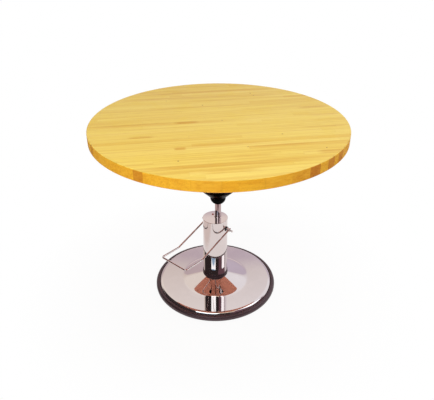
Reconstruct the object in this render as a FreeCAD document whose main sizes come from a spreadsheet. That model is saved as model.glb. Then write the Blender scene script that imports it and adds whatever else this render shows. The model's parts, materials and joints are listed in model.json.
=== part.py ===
"""Telescoping pedestal table: a round butcher-block top on a hydraulic foot-pump pedestal.

Frame: millimetres, +Z up. The origin is on the floor, on the axis of the ram and of the table top.
The pump column and the base stand ram_offset in front of that axis (-Y), and the pedal points to -Y.
Rest pose: the ram stands ram_drop above its lowest place, and the pedal is up.
"""

import FreeCAD, Part
import math
import os
import re

from FreeCAD import Placement, Rotation, Vector
from Sketcher import Constraint

# ---------------------------------------------------------------------------------------------
# Driving dimensions, in millimetres and degrees
# ---------------------------------------------------------------------------------------------

SIZES = {
    # table top
    "top_diameter": 1066.8,
    "top_thickness": 44.5,
    "top_height": 824,
    "top_edge_round": 3,
    # ram
    "ram_radius": 14,
    "ram_offset": 19,
    "ram_exposed": 68.5,
    "ram_drop": 60,
    "ram_rise": 140,
    "ram_tip_radius": 11,
    "ram_taper_start": 10,
    "ram_thread_radius": 8,
    "nut_across": 24,
    "nut_height": 10,
    "washer_radius": 15,
    "washer_thickness": 2.5,
    # hub and arms under the top
    "hub_neck_radius": 16,
    "hub_radius": 35,
    "hub_waist": 28,
    "flare_start": 34,
    "flare_radius": 82,
    "flare_wall": 14,
    "hub_floor": 59,
    "hub_corner_round": 5,
    "set_screw_radius": 4,
    "set_screw_height": 22,
    "arm_count": 4,
    "arm_first_angle": 45,
    "arm_slope": 46,
    "arm_seat_wall": 8,
    "arm_thickness": 12,
    "arm_root_start": 14,
    "arm_root_width": 44,
    "arm_neck_width": 26,
    "pad_thickness": 8,
    "pad_inner_reach": 34,
    "pad_outer_reach": 46,
    "pad_screw_inset": 18,
    "arm_bolt_radius": 4,
    "arm_bolt_head_radius": 6.5,
    "arm_bolt_head_height": 8,
    "arm_bolt_first": 12,
    "arm_bolt_spacing": 20,
    "arm_bolt_grip": 6,
    "top_screw_radius": 3,
    "top_screw_head_radius": 6.5,
    "top_screw_head_height": 4,
    "insert_radius": 5,
    "insert_length": 18,
    # column
    "column_radius": 56.2,
    "column_height": 367.5,
    "sleeve_wall": 1.6,
    "cap_thickness": 6,
    "cap_overhang": 1,
    "cap_edge_round": 1.2,
    "filler_x": 24.8,
    "filler_y": 7.5,
    "filler_radius": 3,
    "filler_head_radius": 4.2,
    "filler_head_height": 2,
    "filler_depth": 10,
    "collar_width": 3.1,
    "collar_height": 20,
    # ram cylinder and its seals
    "cylinder_radius": 21,
    "cylinder_wall": 4.5,
    "cylinder_seat": 24.5,
    "cylinder_grip": 12,
    "bush_flange": 4,
    "gland_radius": 17.5,
    "gland_rim_radius": 19.5,
    "gland_rim_height": 2,
    "gland_lip": 1.5,
    "wiper_height": 8,
    "wiper_width": 2,
    # piston
    "piston_height": 26,
    "piston_floor": 12,
    "cup_height": 9,
    "cup_wall": 3,
    "cup_web": 3,
    "piston_nut_radius": 9,
    "piston_nut_height": 5,
    "piston_screw_radius": 3,
    "thrust_ball_radius": 5,
    "ball_pocket_depth": 2,
    "snap_ring_height": 1.8,
    "snap_ring_width": 2.6,
    "snap_ring_lift": 4,
    # upper pump casting
    "head_plate": 20,
    "lug_inner": 36.5,
    "lug_outer": 51.8,
    "lug_radius": 13,
    "pivot_bush_wall": 2,
    "pivot_bush_flange": 1.8,
    # pivot, lever and pump
    "pivot_drop": 45.8,
    "pivot_setback": 4.6,
    "pedal_sweep": 26,
    "stud_radius": 7,
    "lever_length": 44,
    "lever_thickness": 12,
    "lever_inner": 26,
    "lever_outer": 34,
    "lever_boss_radius": 12,
    "lever_tip_width": 24,
    "lever_nose_radius": 6,
    "lever_nose_drop": 3,
    "lever_nose_gap": 0.4,
    "lever_shoulder": 22,
    "lever_heel": 10,
    "yoke_pin_radius": 2,
    "plunger_radius": 8,
    "plunger_head_radius": 12,
    "plunger_head_height": 5,
    "plunger_foot_gap": 3,
    "plunger_seal_height": 4,
    "plunger_seal_depth": 1.6,
    "plunger_seal_lift": 6,
    "barrel_wall": 6,
    "barrel_seat": 38.5,
    "barrel_grip": 18,
    "barrel_above_cover": 13,
    "spring_wire": 2,
    "spring_radius": 10.4,
    "spring_turns": 5,
    # lower pump casting and oil tank
    "flange_radius": 60,
    "flange_thickness": 12,
    "cylinder_boss_wall": 6,
    "cylinder_boss_grip": 18,
    "chamber_radius": 15,
    "chamber_floor": 8.5,
    "barrel_boss_wall": 4,
    "web_width": 16,
    "tank_radius": 51.8,
    "tank_wall": 1.6,
    "tank_drop": 58.5,
    "tank_cover_thickness": 4,
    # ball valves
    "valve_ball_radius": 3.2,
    "valve_seat_radius": 2.2,
    "passage_radius": 2,
    "valve_pocket_radius": 4.2,
    "inlet_chamber_radius": 5.5,
    "inlet_seat": 20.5,
    "inlet_port": 16,
    "inlet_cage_height": 2,
    "outlet_seat": 30.5,
    "outlet_bore_depth": 6,
    "outlet_plug_bottom": 3,
    "outlet_plug_length": 10,
    "outlet_port": 16.5,
    "valve_spring_wire": 0.6,
    "valve_spring_radius": 2.4,
    "valve_spring_turns": 4,
    # release valve
    "release_x": 30,
    "release_y": 22,
    "release_rod_radius": 3,
    "release_pocket_radius": 6,
    "release_pocket_height": 50.5,
    "release_boss_radius": 10,
    "release_boss_height": 58.5,
    "release_head_height": 3.2,
    "release_collar_radius": 6,
    "release_collar_height": 3,
    "release_spring_length": 28,
    "release_spring_wire": 1.4,
    "release_spring_radius": 4.6,
    "release_spring_turns": 5,
    # pedal
    "rod_radius": 4,
    "pedal_pivot_spread": 70.7,
    "pedal_bar_spread": 73.3,
    "pedal_knee_reach": 183.1,
    "pedal_knee_drop": 67.8,
    "pedal_bar_reach": 284.1,
    "pedal_bar_drop": 66.5,
    "pedal_knee_bend": 30,
    "pedal_corner_bend": 11,
    "pedal_rod_overhang": 10,
    "stud_shoulder_radius": 9,
    "stud_shoulder_width": 3,
    "stud_end": 78,
    "stud_seal_radius": 11,
    "stud_seal_width": 3,
    "clamp_neck_radius": 3,
    "clamp_neck_length": 6,
    "clamp_thread_radius": 2.5,
    "clamp_head_radius": 6,
    "clamp_head_length": 6,
    # base
    "base_radius": 286,
    "bumper_width": 18,
    "bumper_height": 25,
    "bumper_lip": 12,
    "bumper_lip_height": 3,
    "bumper_top_round": 12,
    "bumper_inner_round": 4,
    "bumper_bottom_round": 9,
    "cover_height": 32,
    "cover_wall": 1.5,
    "cover_edge_round": 14,
    "cover_skirt_drop": 20,
    "cone_radius": 147,
    "cone_sweep": 90,
    "cone_height": 59.9,
    "cone_hole_radius": 57.6,
    "cover_overhang": 6,
    "casting_plate": 10,
    "casting_rim_width": 12,
    "casting_boss_radius": 72,
    "casting_boss_bottom": 12,
    "rib_count": 8,
    "rib_width": 9,
    "rib_bottom": 8,
    "base_bolt_count": 4,
    "base_bolt_circle": 48,
    "base_bolt_radius": 5,
    "base_bolt_head_height": 6.4,
    "base_bolt_across": 16,
    "base_bolt_depth": 9,
    "base_washer_radius": 10,
    "base_washer_thickness": 2,
    # fits: radial running clearance, seat of one fixed piece on another, free space between bodies
    "running_fit": 0.05,
    "seat_fit": 0.1,
    "air_gap": 0.3,
    "stop_gap": 1,
}

# Levels and radii that follow from the sizes above, as formulas of the same sheet
DERIVED = {
    "column_y": "-ram_offset",
    "top_underside": "top_height - top_thickness",
    "hub_bottom": "column_height + ram_exposed",
    "arm_top_off": "arm_seat_wall + arm_thickness",
    "pad_bottom": "top_underside - pad_thickness",
    "pad_slope_reach": "hub_radius + (pad_bottom - hub_bottom - flare_start) * tan(arm_slope)",
    "pad_lower_corner": "pad_slope_reach - arm_seat_wall / cos(arm_slope)",
    "pad_upper_corner": "pad_slope_reach - arm_top_off / cos(arm_slope)",
    "pad_outer": "pad_lower_corner + pad_outer_reach",
    "pad_inner": "pad_upper_corner - pad_inner_reach",
    "cap_bottom": "column_height - cap_thickness",
    "head_bottom": "cap_bottom - head_plate",
    "sleeve_bore": "column_radius - sleeve_wall",
    "head_radius": "sleeve_bore - 2 * seat_fit",
    "pivot_height": "column_height - pivot_drop",
    "cover_radius": "base_radius - bumper_width",
    "casting_radius": "cover_radius - cover_overhang",
    "casting_top": "cover_height - cover_wall",
    "flange_top": "casting_top + flange_thickness",
    "cylinder_bore": "cylinder_radius - cylinder_wall",
    "cylinder_foot": "casting_top + cylinder_seat",
    "cylinder_top": "head_bottom + cylinder_grip",
    "piston_radius": "cylinder_bore - running_fit",
    "piston_bottom": "cylinder_foot + stop_gap + cup_height + ram_drop",
    "piston_top": "piston_bottom + piston_height",
    "ram_bore": "ram_radius + running_fit",
    "ram_foot": "piston_bottom + piston_floor + 2 * (thrust_ball_radius - ball_pocket_depth) + air_gap",
    "bush_bottom": "piston_top + ram_rise + stop_gap",
    "pivot_bush_bore": "stud_radius + running_fit",
    "pivot_bush_radius": "pivot_bush_bore + pivot_bush_wall",
    "tank_top": "pivot_height - tank_drop",
    "tank_cover_top": "tank_top + tank_cover_thickness",
    # the lever swings evenly about the level, and its nose pushes the plunger down
    "lever_rise": "pedal_sweep / 2",
    "nose_rise": "lever_length * sin(lever_rise) - lever_nose_drop * cos(lever_rise)",
    "plunger_y": "-pivot_setback - lever_length * cos(pedal_sweep / 4)",
    "plunger_stroke": "2 * lever_length * sin(lever_rise)",
    "plunger_top": "pivot_height + nose_rise - lever_nose_radius - lever_nose_gap",
    "barrel_radius": "plunger_radius + barrel_wall",
    "barrel_bottom": "casting_top + barrel_seat",
    "barrel_top": "tank_cover_top + barrel_above_cover",
    "inlet_level": "casting_top + inlet_seat",
    "outlet_level": "casting_top + outlet_seat",
    "outlet_y": "(plunger_y + barrel_radius - cylinder_radius) / 2",
    "ball_sink": "sqrt(valve_ball_radius ^ 2 - valve_seat_radius ^ 2)",
    "inlet_ball_height": "inlet_level + ball_sink + seat_fit",
    "outlet_ball_height": "outlet_level - ball_sink - seat_fit",
    "rod_slope": "atan(pedal_knee_drop / pedal_knee_reach)",
}

doc = FreeCAD.newDocument("PedestalTable")
sheet = doc.addObject("Spreadsheet::Sheet", "sizes")
KNOWN = {**SIZES, **DERIVED}
for row, (alias, size) in enumerate(KNOWN.items(), start=1):
    sheet.set(f"A{row}", alias)
    sheet.set(f"B{row}", f"={size}" if alias in DERIVED else str(size))
    sheet.setAlias(f"B{row}", alias)
doc.recompute()

# ---------------------------------------------------------------------------------------------
# Helpers. An expression is a text such as "ram_radius + running_fit", in the names of the sheet.
# ---------------------------------------------------------------------------------------------

TOUCH = 1e-3  # two lengths closer than this are the same length
OUTPUT = []  # the finished objects, one for each node


def bound(expression):
    """The expression with the sheet's name before each size, as FreeCAD wants it."""
    return re.sub(r"[a-z][a-z_]+", lambda m: f"sizes.{m[0]}" if m[0] in KNOWN else m[0], expression)


def number(expression):
    """The expression's value now."""
    return float(sheet.evalExpression(bound(expression)))


def link(thing, prop, expression):
    thing.setExpression(prop, bound(expression))


def put(thing, x="0", y="0", z="0"):
    """Tie the place of a piece to expressions."""
    for axis, expression in zip("xyz", (x, y, z)):
        link(thing, f"Placement.Base.{axis}", expression)
    return thing


def done(thing, name):
    """Name a finished piece: its label is the name of its node."""
    thing.Label = name
    OUTPUT.append(thing)
    return thing


TURN = {
    "Z": Rotation(),
    "X": Rotation(Vector(0, 1, 0), 90),
    "Y": Rotation(Vector(1, 0, 0), -90),
}


def cylinder(name, radius, length, x="0", y="0", z="0", along="Z"):
    piece = doc.addObject("Part::Cylinder", name)
    link(piece, "Radius", radius)
    link(piece, "Height", length)
    piece.Placement = Placement(Vector(), TURN[along])
    return put(piece, x, y, z)


def cone(name, start_radius, end_radius, length, x="0", y="0", z="0", along="Z"):
    piece = doc.addObject("Part::Cone", name)
    link(piece, "Radius1", start_radius)
    link(piece, "Radius2", end_radius)
    link(piece, "Height", length)
    piece.Placement = Placement(Vector(), TURN[along])
    return put(piece, x, y, z)


def ball(name, radius, x="0", y="0", z="0"):
    piece = doc.addObject("Part::Sphere", name)
    link(piece, "Radius", radius)
    return put(piece, x, y, z)


def box(name, x, y, z):
    """A box between three pairs of expressions, (low, high)."""
    piece = doc.addObject("Part::Box", name)
    for prop, (low, high) in zip(("Length", "Width", "Height"), (x, y, z)):
        link(piece, prop, f"({high}) - ({low})")
    return put(piece, x[0], y[0], z[0])


def fuse(name, *pieces):
    joined = doc.addObject("Part::MultiFuse", name)
    joined.Shapes = list(pieces)
    joined.Refine = True
    return joined


def cut(name, base, *tools):
    left = doc.addObject("Part::Cut", name)
    left.Base = base
    left.Tool = tools[0] if len(tools) == 1 else fuse(f"{name}_tools", *tools)
    left.Refine = True
    return left


def common(name, first, second):
    shared = doc.addObject("Part::Common", name)
    shared.Base = first
    shared.Tool = second
    return shared


def tube(name, outer, inner, length, x="0", y="0", z="0", along="Z"):
    """A plain tube, with its bore cut right through."""
    outside = cylinder(f"{name}_outside", outer, length, x, y, z, along)
    bore = cylinder(f"{name}_bore", inner, length, x, y, z, along)
    return cut(name, outside, bore)


def hexagon(name, across, length, x="0", y="0", z="0"):
    piece = doc.addObject("Part::Prism", name)
    piece.Polygon = 6
    link(piece, "Circumradius", f"({across}) / sqrt(3)")
    link(piece, "Height", length)
    return put(piece, x, y, z)


def copies(name, pattern, placements):
    """One shape at several places, as separate solids: identical fasteners or their holes."""
    doc.recompute()
    solids = []
    for placement in placements:
        solid = pattern.Shape.copy()
        solid.Placement = placement.multiply(solid.Placement)
        solids.append(solid)
    group = doc.addObject("Part::Feature", name)
    group.Shape = Part.makeCompound(solids)
    return group


def plane(body, role):
    return next(item for item in body.Origin.OriginFeatures if item.Role == role)


def new_body(name):
    return doc.addObject("PartDesign::Body", name)


def new_sketch(body, name, role, height="0"):
    """An empty sketch on one of the body's origin planes, or parallel to it at a height."""
    sketch = body.newObject("Sketcher::SketchObject", name)
    sketch.AttachmentSupport = [(plane(body, role), "")]
    sketch.MapMode = "FlatFace"
    if height != "0":
        link(sketch, "AttachmentOffset.Base.z", height)
    return sketch


def pin_point(sketch, item, end, across, up):
    """Tie one end of a sketch line to its two coordinates."""
    for kind, axis, expression in (("DistanceX", -2, across), ("DistanceY", -1, up)):
        if expression == "0":
            sketch.addConstraint(Constraint("PointOnObject", item, end, axis))
            continue
        place = sketch.addConstraint(Constraint(kind, -1, 1, item, end, number(expression)))
        link(sketch, f"Constraints[{place}]", expression)


def outline(sketch, corners):
    """A closed outline. A corner is (across, up) or (across, up, radius): then an arc of that
    radius, bulging to the right of the way along the outline, leads from it to the next one."""
    spots = [Vector(number(c[0]), number(c[1]), 0) for c in corners]
    ends = []
    first = sketch.GeometryCount
    for i, (corner, start) in enumerate(zip(corners, spots)):
        stop = spots[(i + 1) % len(spots)]
        if len(corner) == 2:
            sketch.addGeometry(Part.LineSegment(start, stop), False)
        else:
            radius = number(corner[2])
            chord = stop - start
            left = Vector(-chord.y, chord.x, 0).normalize()
            middle = (start + stop) * 0.5 + left * math.sqrt(radius**2 - (chord.Length / 2) ** 2)
            angles = [math.atan2(p.y - middle.y, p.x - middle.x) for p in (start, stop)]
            circle = Part.Circle(middle, Vector(0, 0, 1), radius)
            sketch.addGeometry(Part.ArcOfCircle(circle, *angles), False)
        ends.append(first + i)
    for i, item in enumerate(ends):
        sketch.addConstraint(Constraint("Coincident", item, 2, ends[(i + 1) % len(ends)], 1))
        pin_point(sketch, item, 1, *corners[i][:2])
        if len(corners[i]) == 3:
            place = sketch.addConstraint(Constraint("Radius", item, number(corners[i][2])))
            link(sketch, f"Constraints[{place}]", corners[i][2])


def disc(sketch, radius, across="0", up="0"):
    """A circle in a sketch."""
    spot = Vector(number(across), number(up), 0)
    item = sketch.addGeometry(Part.Circle(spot, Vector(0, 0, 1), number(radius)), False)
    pin_point(sketch, item, 3, across, up)
    place = sketch.addConstraint(Constraint("Radius", item, number(radius)))
    link(sketch, f"Constraints[{place}]", radius)


def feature(body, kind, name, sketch=None):
    step = body.newObject(f"PartDesign::{kind}", name)
    if sketch is not None:
        step.Profile = sketch
    return step


def pad(body, name, sketch, length, symmetric=False, reversed_way=False, kind="Pad"):
    step = feature(body, kind, name, sketch)
    link(step, "Length", length)
    if symmetric:
        step.SideType = "Symmetric"
    step.Reversed = reversed_way
    return step


def revolve(name, corners, y="0"):
    """A body turned about the vertical axis through (0, y), from an outline of (radius, height)."""
    body = new_body(name)
    sketch = new_sketch(body, f"{name}_profile", "XZ_Plane")
    outline(sketch, corners)
    turned = feature(body, "Revolution", f"{name}_turned", sketch)
    turned.ReferenceAxis = (sketch, ["V_Axis"])
    turned.Angle = 360
    put(body, "0", y, "0")
    return body


def polar(body, name, step, count):
    """Repeat a step round the body's vertical axis."""
    pattern = feature(body, "PolarPattern", name)
    pattern.Originals = [step]
    pattern.Axis = (plane(body, "Z_Axis"), [""])
    pattern.Angle = 360
    link(pattern, "Occurrences", count)
    body.Tip = pattern
    return pattern


def ring_edges(shape, rings):
    """Names of the circular edges whose (radius, height) is in rings."""
    wanted = [(number(radius), number(height)) for radius, height in rings]
    names = []
    for i, edge in enumerate(shape.Edges, start=1):
        curve = edge.Curve
        if curve.TypeId != "Part::GeomCircle":
            continue
        if any(abs(curve.Radius - r) + abs(curve.Center.z - z) < TOUCH for r, z in wanted):
            names.append(f"Edge{i}")
    return names


def dress(body, name, edges, radius, kind="Fillet"):
    """Round or chamfer the named edges of the body's last step."""
    base = body.Tip
    step = body.newObject(f"PartDesign::{kind}", name)
    step.Base = (base, edges)
    link(step, "Radius" if kind == "Fillet" else "Size", radius)
    return step


def round_rings(body, name, rings, radius):
    doc.recompute()
    return dress(body, name, ring_edges(body.Tip.Shape, rings), radius)


def coil(name, radius, wire, bottom, top, turns, x="0", y="0"):
    """A compression spring of square wire that fills the height from bottom to top."""
    body = new_body(name)
    sketch = new_sketch(body, f"{name}_section", "XZ_Plane")
    inside = f"({radius}) - ({wire}) / 2"
    outside = f"({radius}) + ({wire}) / 2"
    outline(sketch, [(inside, "0"), (outside, "0"), (outside, wire), (inside, wire)])
    helix = feature(body, "AdditiveHelix", f"{name}_helix", sketch)
    helix.ReferenceAxis = (sketch, ["V_Axis"])
    helix.Mode = "height-turns-angle"
    link(helix, "Height", f"({top}) - ({bottom}) - ({wire})")
    link(helix, "Turns", turns)
    put(body, x, y, bottom)
    return done(body, name)


def around(count, first="0"):
    """Turns about the vertical axis, evenly spaced."""
    step = 360 / round(number(count))
    for i in range(round(number(count))):
        yield Placement(Vector(), Rotation(Vector(0, 0, 1), number(first) + step * i))


# ---------------------------------------------------------------------------------------------
# Table top: a glued butcher block, drilled underneath for eight threaded inserts
# ---------------------------------------------------------------------------------------------


def on_slope(along, off):
    """(radius, height) of a point on an arm: along its slope, and off the hub's outer face."""
    across = f"(hub_radius + ({along}) * sin(arm_slope) - ({off}) * cos(arm_slope))"
    up = f"(hub_bottom + flare_start + ({along}) * cos(arm_slope) + ({off}) * sin(arm_slope))"
    return across, up


def screw_places(height):
    """Upright places of the eight screws of the top, at a height."""
    for turn in around("arm_count", "arm_first_angle"):
        for circle in ("pad_inner + pad_screw_inset", "pad_outer - pad_screw_inset"):
            yield turn.multiply(Placement(Vector(number(circle), 0, number(height)), Rotation()))


def make_top():
    slab = revolve(
        "top_slab",
        [
            ("0", "top_underside"),
            ("top_diameter / 2", "top_underside"),
            ("top_diameter / 2", "top_height"),
            ("0", "top_height"),
        ],
    )
    rims = [("top_diameter / 2", "top_underside"), ("top_diameter / 2", "top_height")]
    round_rings(slab, "top_slab_edges", rims, "top_edge_round")
    hole = cylinder("insert_hole", "insert_radius + seat_fit / 2", "insert_length + seat_fit")
    holes = copies("insert_holes", hole, screw_places("top_underside"))
    done(cut("top_board", slab, holes), "table_top")

    insert = tube("insert", "insert_radius", "top_screw_radius + seat_fit / 2", "insert_length")
    done(copies("top_inserts_group", insert, screw_places("top_underside")), "top_inserts")

    shank = cylinder("top_screw_shank", "top_screw_radius", "pad_thickness + insert_length - 2")
    head = cylinder(
        "top_screw_head", "top_screw_head_radius", "top_screw_head_height", z="-top_screw_head_height"
    )
    socket = hexagon("top_screw_socket", "top_screw_radius * 2", "2", z="-top_screw_head_height")
    screw = cut("top_screw", fuse("top_screw_solid", shank, head), socket)
    done(copies("top_screws_group", screw, screw_places("pad_bottom")), "top_screws")


# ---------------------------------------------------------------------------------------------
# Hub and arms: a rounded cast hub on the ram's taper, flared into a cup that holds four arms
# ---------------------------------------------------------------------------------------------


def bolt_places(off):
    """Places of the bolts that hold the arms, square to the slope, at a distance off the hub."""
    for turn in around("arm_count", "arm_first_angle"):
        for step in range(2):
            along = f"(arm_root_start + arm_bolt_first + {step} * arm_bolt_spacing)"
            across, up = on_slope(along, off)
            tilt = Rotation(Vector(0, 1, 0), number("arm_slope") - 90)
            yield turn.multiply(Placement(Vector(number(across), 0, number(up)), tilt))


def make_hub(bolt_holes):
    rise = "hub_waist"
    step = "(hub_radius - hub_neck_radius)"
    flare_top = "(hub_bottom + flare_start + (flare_radius - hub_radius) / tan(arm_slope))"
    wall_across = "(flare_wall / cos(arm_slope))"
    floor = "(hub_bottom + hub_floor)"
    floor_edge = f"(flare_radius - {wall_across} - ({flare_top} - {floor}) * tan(arm_slope))"
    taper_bottom = "(hub_bottom + ram_taper_start)"
    cup = revolve(
        "hub_cup",
        [
            ("ram_radius + seat_fit", "hub_bottom"),
            ("hub_neck_radius", "hub_bottom", f"({step} * {step} + {rise} * {rise}) / (2 * {step})"),
            ("hub_radius", f"hub_bottom + {rise}"),
            ("hub_radius", "hub_bottom + flare_start"),
            ("flare_radius", flare_top),
            (f"flare_radius - {wall_across}", flare_top),
            (floor_edge, floor),
            ("ram_tip_radius + seat_fit", floor),
            ("ram_radius + seat_fit", taper_bottom),
        ],
    )
    waist = [("hub_radius", "hub_bottom + flare_start"), (floor_edge, floor)]
    round_rings(cup, "hub_cup_waist", waist, "hub_corner_round")

    # open seats in the cup's wall, one for each arm
    seat = new_sketch(cup, "hub_seat_side", "XZ_Plane")
    start = "arm_root_start - seat_fit"
    beyond = "((flare_radius - hub_radius) / sin(arm_slope) + 2 * flare_wall)"
    above = "(arm_top_off + flare_wall)"
    outline(
        seat,
        [
            on_slope(start, "arm_seat_wall"),
            on_slope(beyond, "arm_seat_wall"),
            on_slope(beyond, above),
            on_slope(start, above),
        ],
    )
    width = "arm_root_width + 2 * seat_fit"
    pocket = pad(cup, "hub_seat", seat, width, symmetric=True, kind="Pocket")
    polar(cup, "hub_seats", pocket, "arm_count")
    cup.Placement = Placement(Vector(), Rotation(Vector(0, 0, 1), 0))
    link(cup, "Placement.Rotation.Angle", "arm_first_angle")

    screw_hole = cylinder(
        "set_screw_hole",
        "set_screw_radius + seat_fit / 2",
        "hub_radius",
        z="hub_bottom + set_screw_height",
        along="Y",
    )
    done(cut("hub_casting", cup, bolt_holes, screw_hole), "spider_hub")

    length = "(hub_radius - ram_radius - 2)"
    body = cylinder(
        "set_screw_body",
        "set_screw_radius",
        length,
        y="ram_radius + seat_fit",
        z="hub_bottom + set_screw_height",
        along="Y",
    )
    done(body, "hub_set_screw")


def make_arm(name, turn, bolt_holes, screw_holes):
    """One arm: a palm in the hub's seat, a tapering bar up the slope, a pad under the top."""
    blank = new_body(f"{name}_blank")
    side = new_sketch(blank, f"{name}_side", "XZ_Plane")
    outline(
        side,
        [
            on_slope("arm_root_start", "arm_seat_wall"),
            ("pad_lower_corner", "pad_bottom"),
            ("pad_outer", "pad_bottom"),
            ("pad_outer", "top_underside"),
            ("pad_inner", "top_underside"),
            ("pad_inner", "pad_bottom"),
            ("pad_upper_corner", "pad_bottom"),
            on_slope("arm_root_start", "arm_top_off"),
        ],
    )
    pad(blank, f"{name}_bar", side, "arm_root_width", symmetric=True)

    # the bar's waist, cut from both sides as seen from above
    waist = new_sketch(blank, f"{name}_plan", "XY_Plane", "top_underside")
    wide = "(arm_root_width / 2 + stop_gap)"
    narrow = "(arm_neck_width / 2)"
    near = "(flare_radius + arm_thickness)"
    far = "(pad_inner - arm_thickness)"
    middle = f"(({near} + 2 * {far}) / 3)"
    for sign in ("", "-"):
        outline(
            waist,
            [
                (near, f"{sign}{wide}"),
                (middle, f"{sign}{narrow}"),
                (far, f"{sign}{narrow}"),
                (f"({far} + arm_thickness)", f"{sign}{wide}"),
            ],
        )
    step = feature(blank, "Pocket", f"{name}_waist", waist)
    step.Type = "ThroughAll"
    link(blank, "Placement.Rotation.Angle", turn)
    return done(cut(f"{name}_drilled", blank, bolt_holes, screw_holes), name)


def make_spider():
    span = "(arm_thickness + arm_bolt_grip)"
    hole = cylinder("arm_bolt_hole", "arm_bolt_radius + seat_fit / 2", f"{span} + seat_fit")
    bolt_holes = copies("arm_bolt_holes", hole, bolt_places("arm_seat_wall - arm_bolt_grip - seat_fit"))
    shank = cylinder("arm_bolt_shank", "arm_bolt_radius", span, z="-" + span)
    head = cylinder("arm_bolt_head", "arm_bolt_head_radius", "arm_bolt_head_height")
    key = hexagon(
        "arm_bolt_key", "arm_bolt_head_radius", "arm_bolt_head_height / 2", z="arm_bolt_head_height / 2"
    )
    bolt = cut("arm_bolt", fuse("arm_bolt_solid", shank, head), key)
    done(copies("arm_bolts_group", bolt, bolt_places("arm_top_off")), "arm_bolts")

    drill = cylinder("top_screw_hole", "top_screw_radius + 2 * seat_fit", "pad_thickness")
    screw_holes = copies("top_screw_holes", drill, screw_places("pad_bottom"))
    make_hub(bolt_holes)
    sides = ("right_back", "left_back", "left_front", "right_front")
    for i, side in enumerate(sides):
        turn = f"arm_first_angle + {i} * 360 / arm_count"
        make_arm(f"spider_arm_{side}", turn, bolt_holes, screw_holes)


# ---------------------------------------------------------------------------------------------
# Ram and piston
# ---------------------------------------------------------------------------------------------


def make_ram():
    floor = "(hub_bottom + hub_floor)"
    tip = f"({floor} + washer_thickness + nut_height + 3)"
    groove = "(ram_foot + snap_ring_lift - air_gap)"
    groove_top = "(ram_foot + snap_ring_lift + snap_ring_height + air_gap)"
    neck = "(ram_radius - snap_ring_width / 2)"
    ram = revolve(
        "ram_rod",
        [
            ("0", "ram_foot + ball_pocket_depth"),
            ("thrust_ball_radius + seat_fit", "ram_foot + ball_pocket_depth"),
            ("thrust_ball_radius + seat_fit", "ram_foot"),
            ("ram_radius", "ram_foot"),
            ("ram_radius", groove),
            (neck, groove),
            (neck, groove_top),
            ("ram_radius", groove_top),
            ("ram_radius", "hub_bottom + ram_taper_start"),
            ("ram_tip_radius", floor),
            ("ram_thread_radius", floor),
            ("ram_thread_radius", tip),
            ("0", tip),
        ],
    )
    round_rings(ram, "ram_tip_edge", [("ram_thread_radius", tip)], "1")
    done(ram, "ram")
    washer = tube(
        "ram_washer_ring", "washer_radius", "ram_thread_radius + seat_fit", "washer_thickness", z=floor
    )
    done(washer, "ram_washer")
    nut = hexagon("ram_nut_hex", "nut_across", "nut_height", z=f"{floor} + washer_thickness")
    thread = cylinder("ram_nut_bore", "ram_thread_radius + seat_fit / 2", "column_height", z=floor)
    done(cut("ram_nut_cut", nut, thread), "ram_nut")


def make_piston():
    socket = "(piston_bottom + piston_floor)"
    groove = "(ram_foot + snap_ring_lift)"
    groove_top = f"({groove} + snap_ring_height)"
    groove_radius = "(ram_radius + snap_ring_width / 2)"
    piston = revolve(
        "piston_body",
        [
            ("0", "piston_bottom"),
            ("piston_radius", "piston_bottom"),
            ("piston_radius", "piston_top"),
            ("ram_bore", "piston_top"),
            ("ram_bore", groove_top),
            (groove_radius, groove_top),
            (groove_radius, groove),
            ("ram_bore", groove),
            ("ram_bore", socket),
            ("thrust_ball_radius + seat_fit", socket),
            ("thrust_ball_radius + seat_fit", f"{socket} - ball_pocket_depth"),
            ("0", f"{socket} - ball_pocket_depth"),
        ],
    )
    screw = cylinder(
        "piston_screw",
        "piston_screw_radius",
        "cup_web + piston_nut_height",
        z="piston_bottom - cup_web - piston_nut_height",
    )
    done(fuse("piston_with_screw", piston, screw), "piston")
    centre = f"{socket} - ball_pocket_depth + thrust_ball_radius"
    done(ball("thrust_bearing_ball", "thrust_ball_radius", z=centre), "thrust_ball")
    ring = tube(
        "snap_ring_full",
        f"{groove_radius} - seat_fit",
        "ram_radius - snap_ring_width / 2 + running_fit",
        "snap_ring_height - seat_fit",
        z=groove,
    )
    gap = box(
        "snap_ring_gap",
        ("0", "2 * ram_radius"),
        ("-snap_ring_width / 2", "snap_ring_width / 2"),
        (groove, groove_top),
    )
    done(cut("snap_ring_split", ring, gap), "snap_ring")

    inside = "(piston_radius - cup_wall)"
    cup = revolve(
        "piston_cup_body",
        [
            ("piston_screw_radius + seat_fit", "piston_bottom - cup_web"),
            (inside, "piston_bottom - cup_web"),
            ("(piston_radius - cup_wall / 3)", "piston_bottom - cup_height"),
            ("piston_radius", "piston_bottom - cup_height"),
            ("piston_radius", "piston_bottom"),
            ("piston_screw_radius + seat_fit", "piston_bottom"),
        ],
    )
    done(cup, "piston_cup")
    nut = hexagon(
        "piston_nut_hex",
        "2 * piston_nut_radius",
        "piston_nut_height",
        z="piston_bottom - cup_web - piston_nut_height",
    )
    bore = cylinder(
        "piston_nut_bore",
        "piston_screw_radius + seat_fit / 2",
        "piston_nut_height",
        z="piston_bottom - cup_web - piston_nut_height",
    )
    done(cut("piston_nut_cut", nut, bore), "piston_nut")


# ---------------------------------------------------------------------------------------------
# Column: sleeve, cap, ram cylinder, guide bush, gland and wiper
# ---------------------------------------------------------------------------------------------


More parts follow.
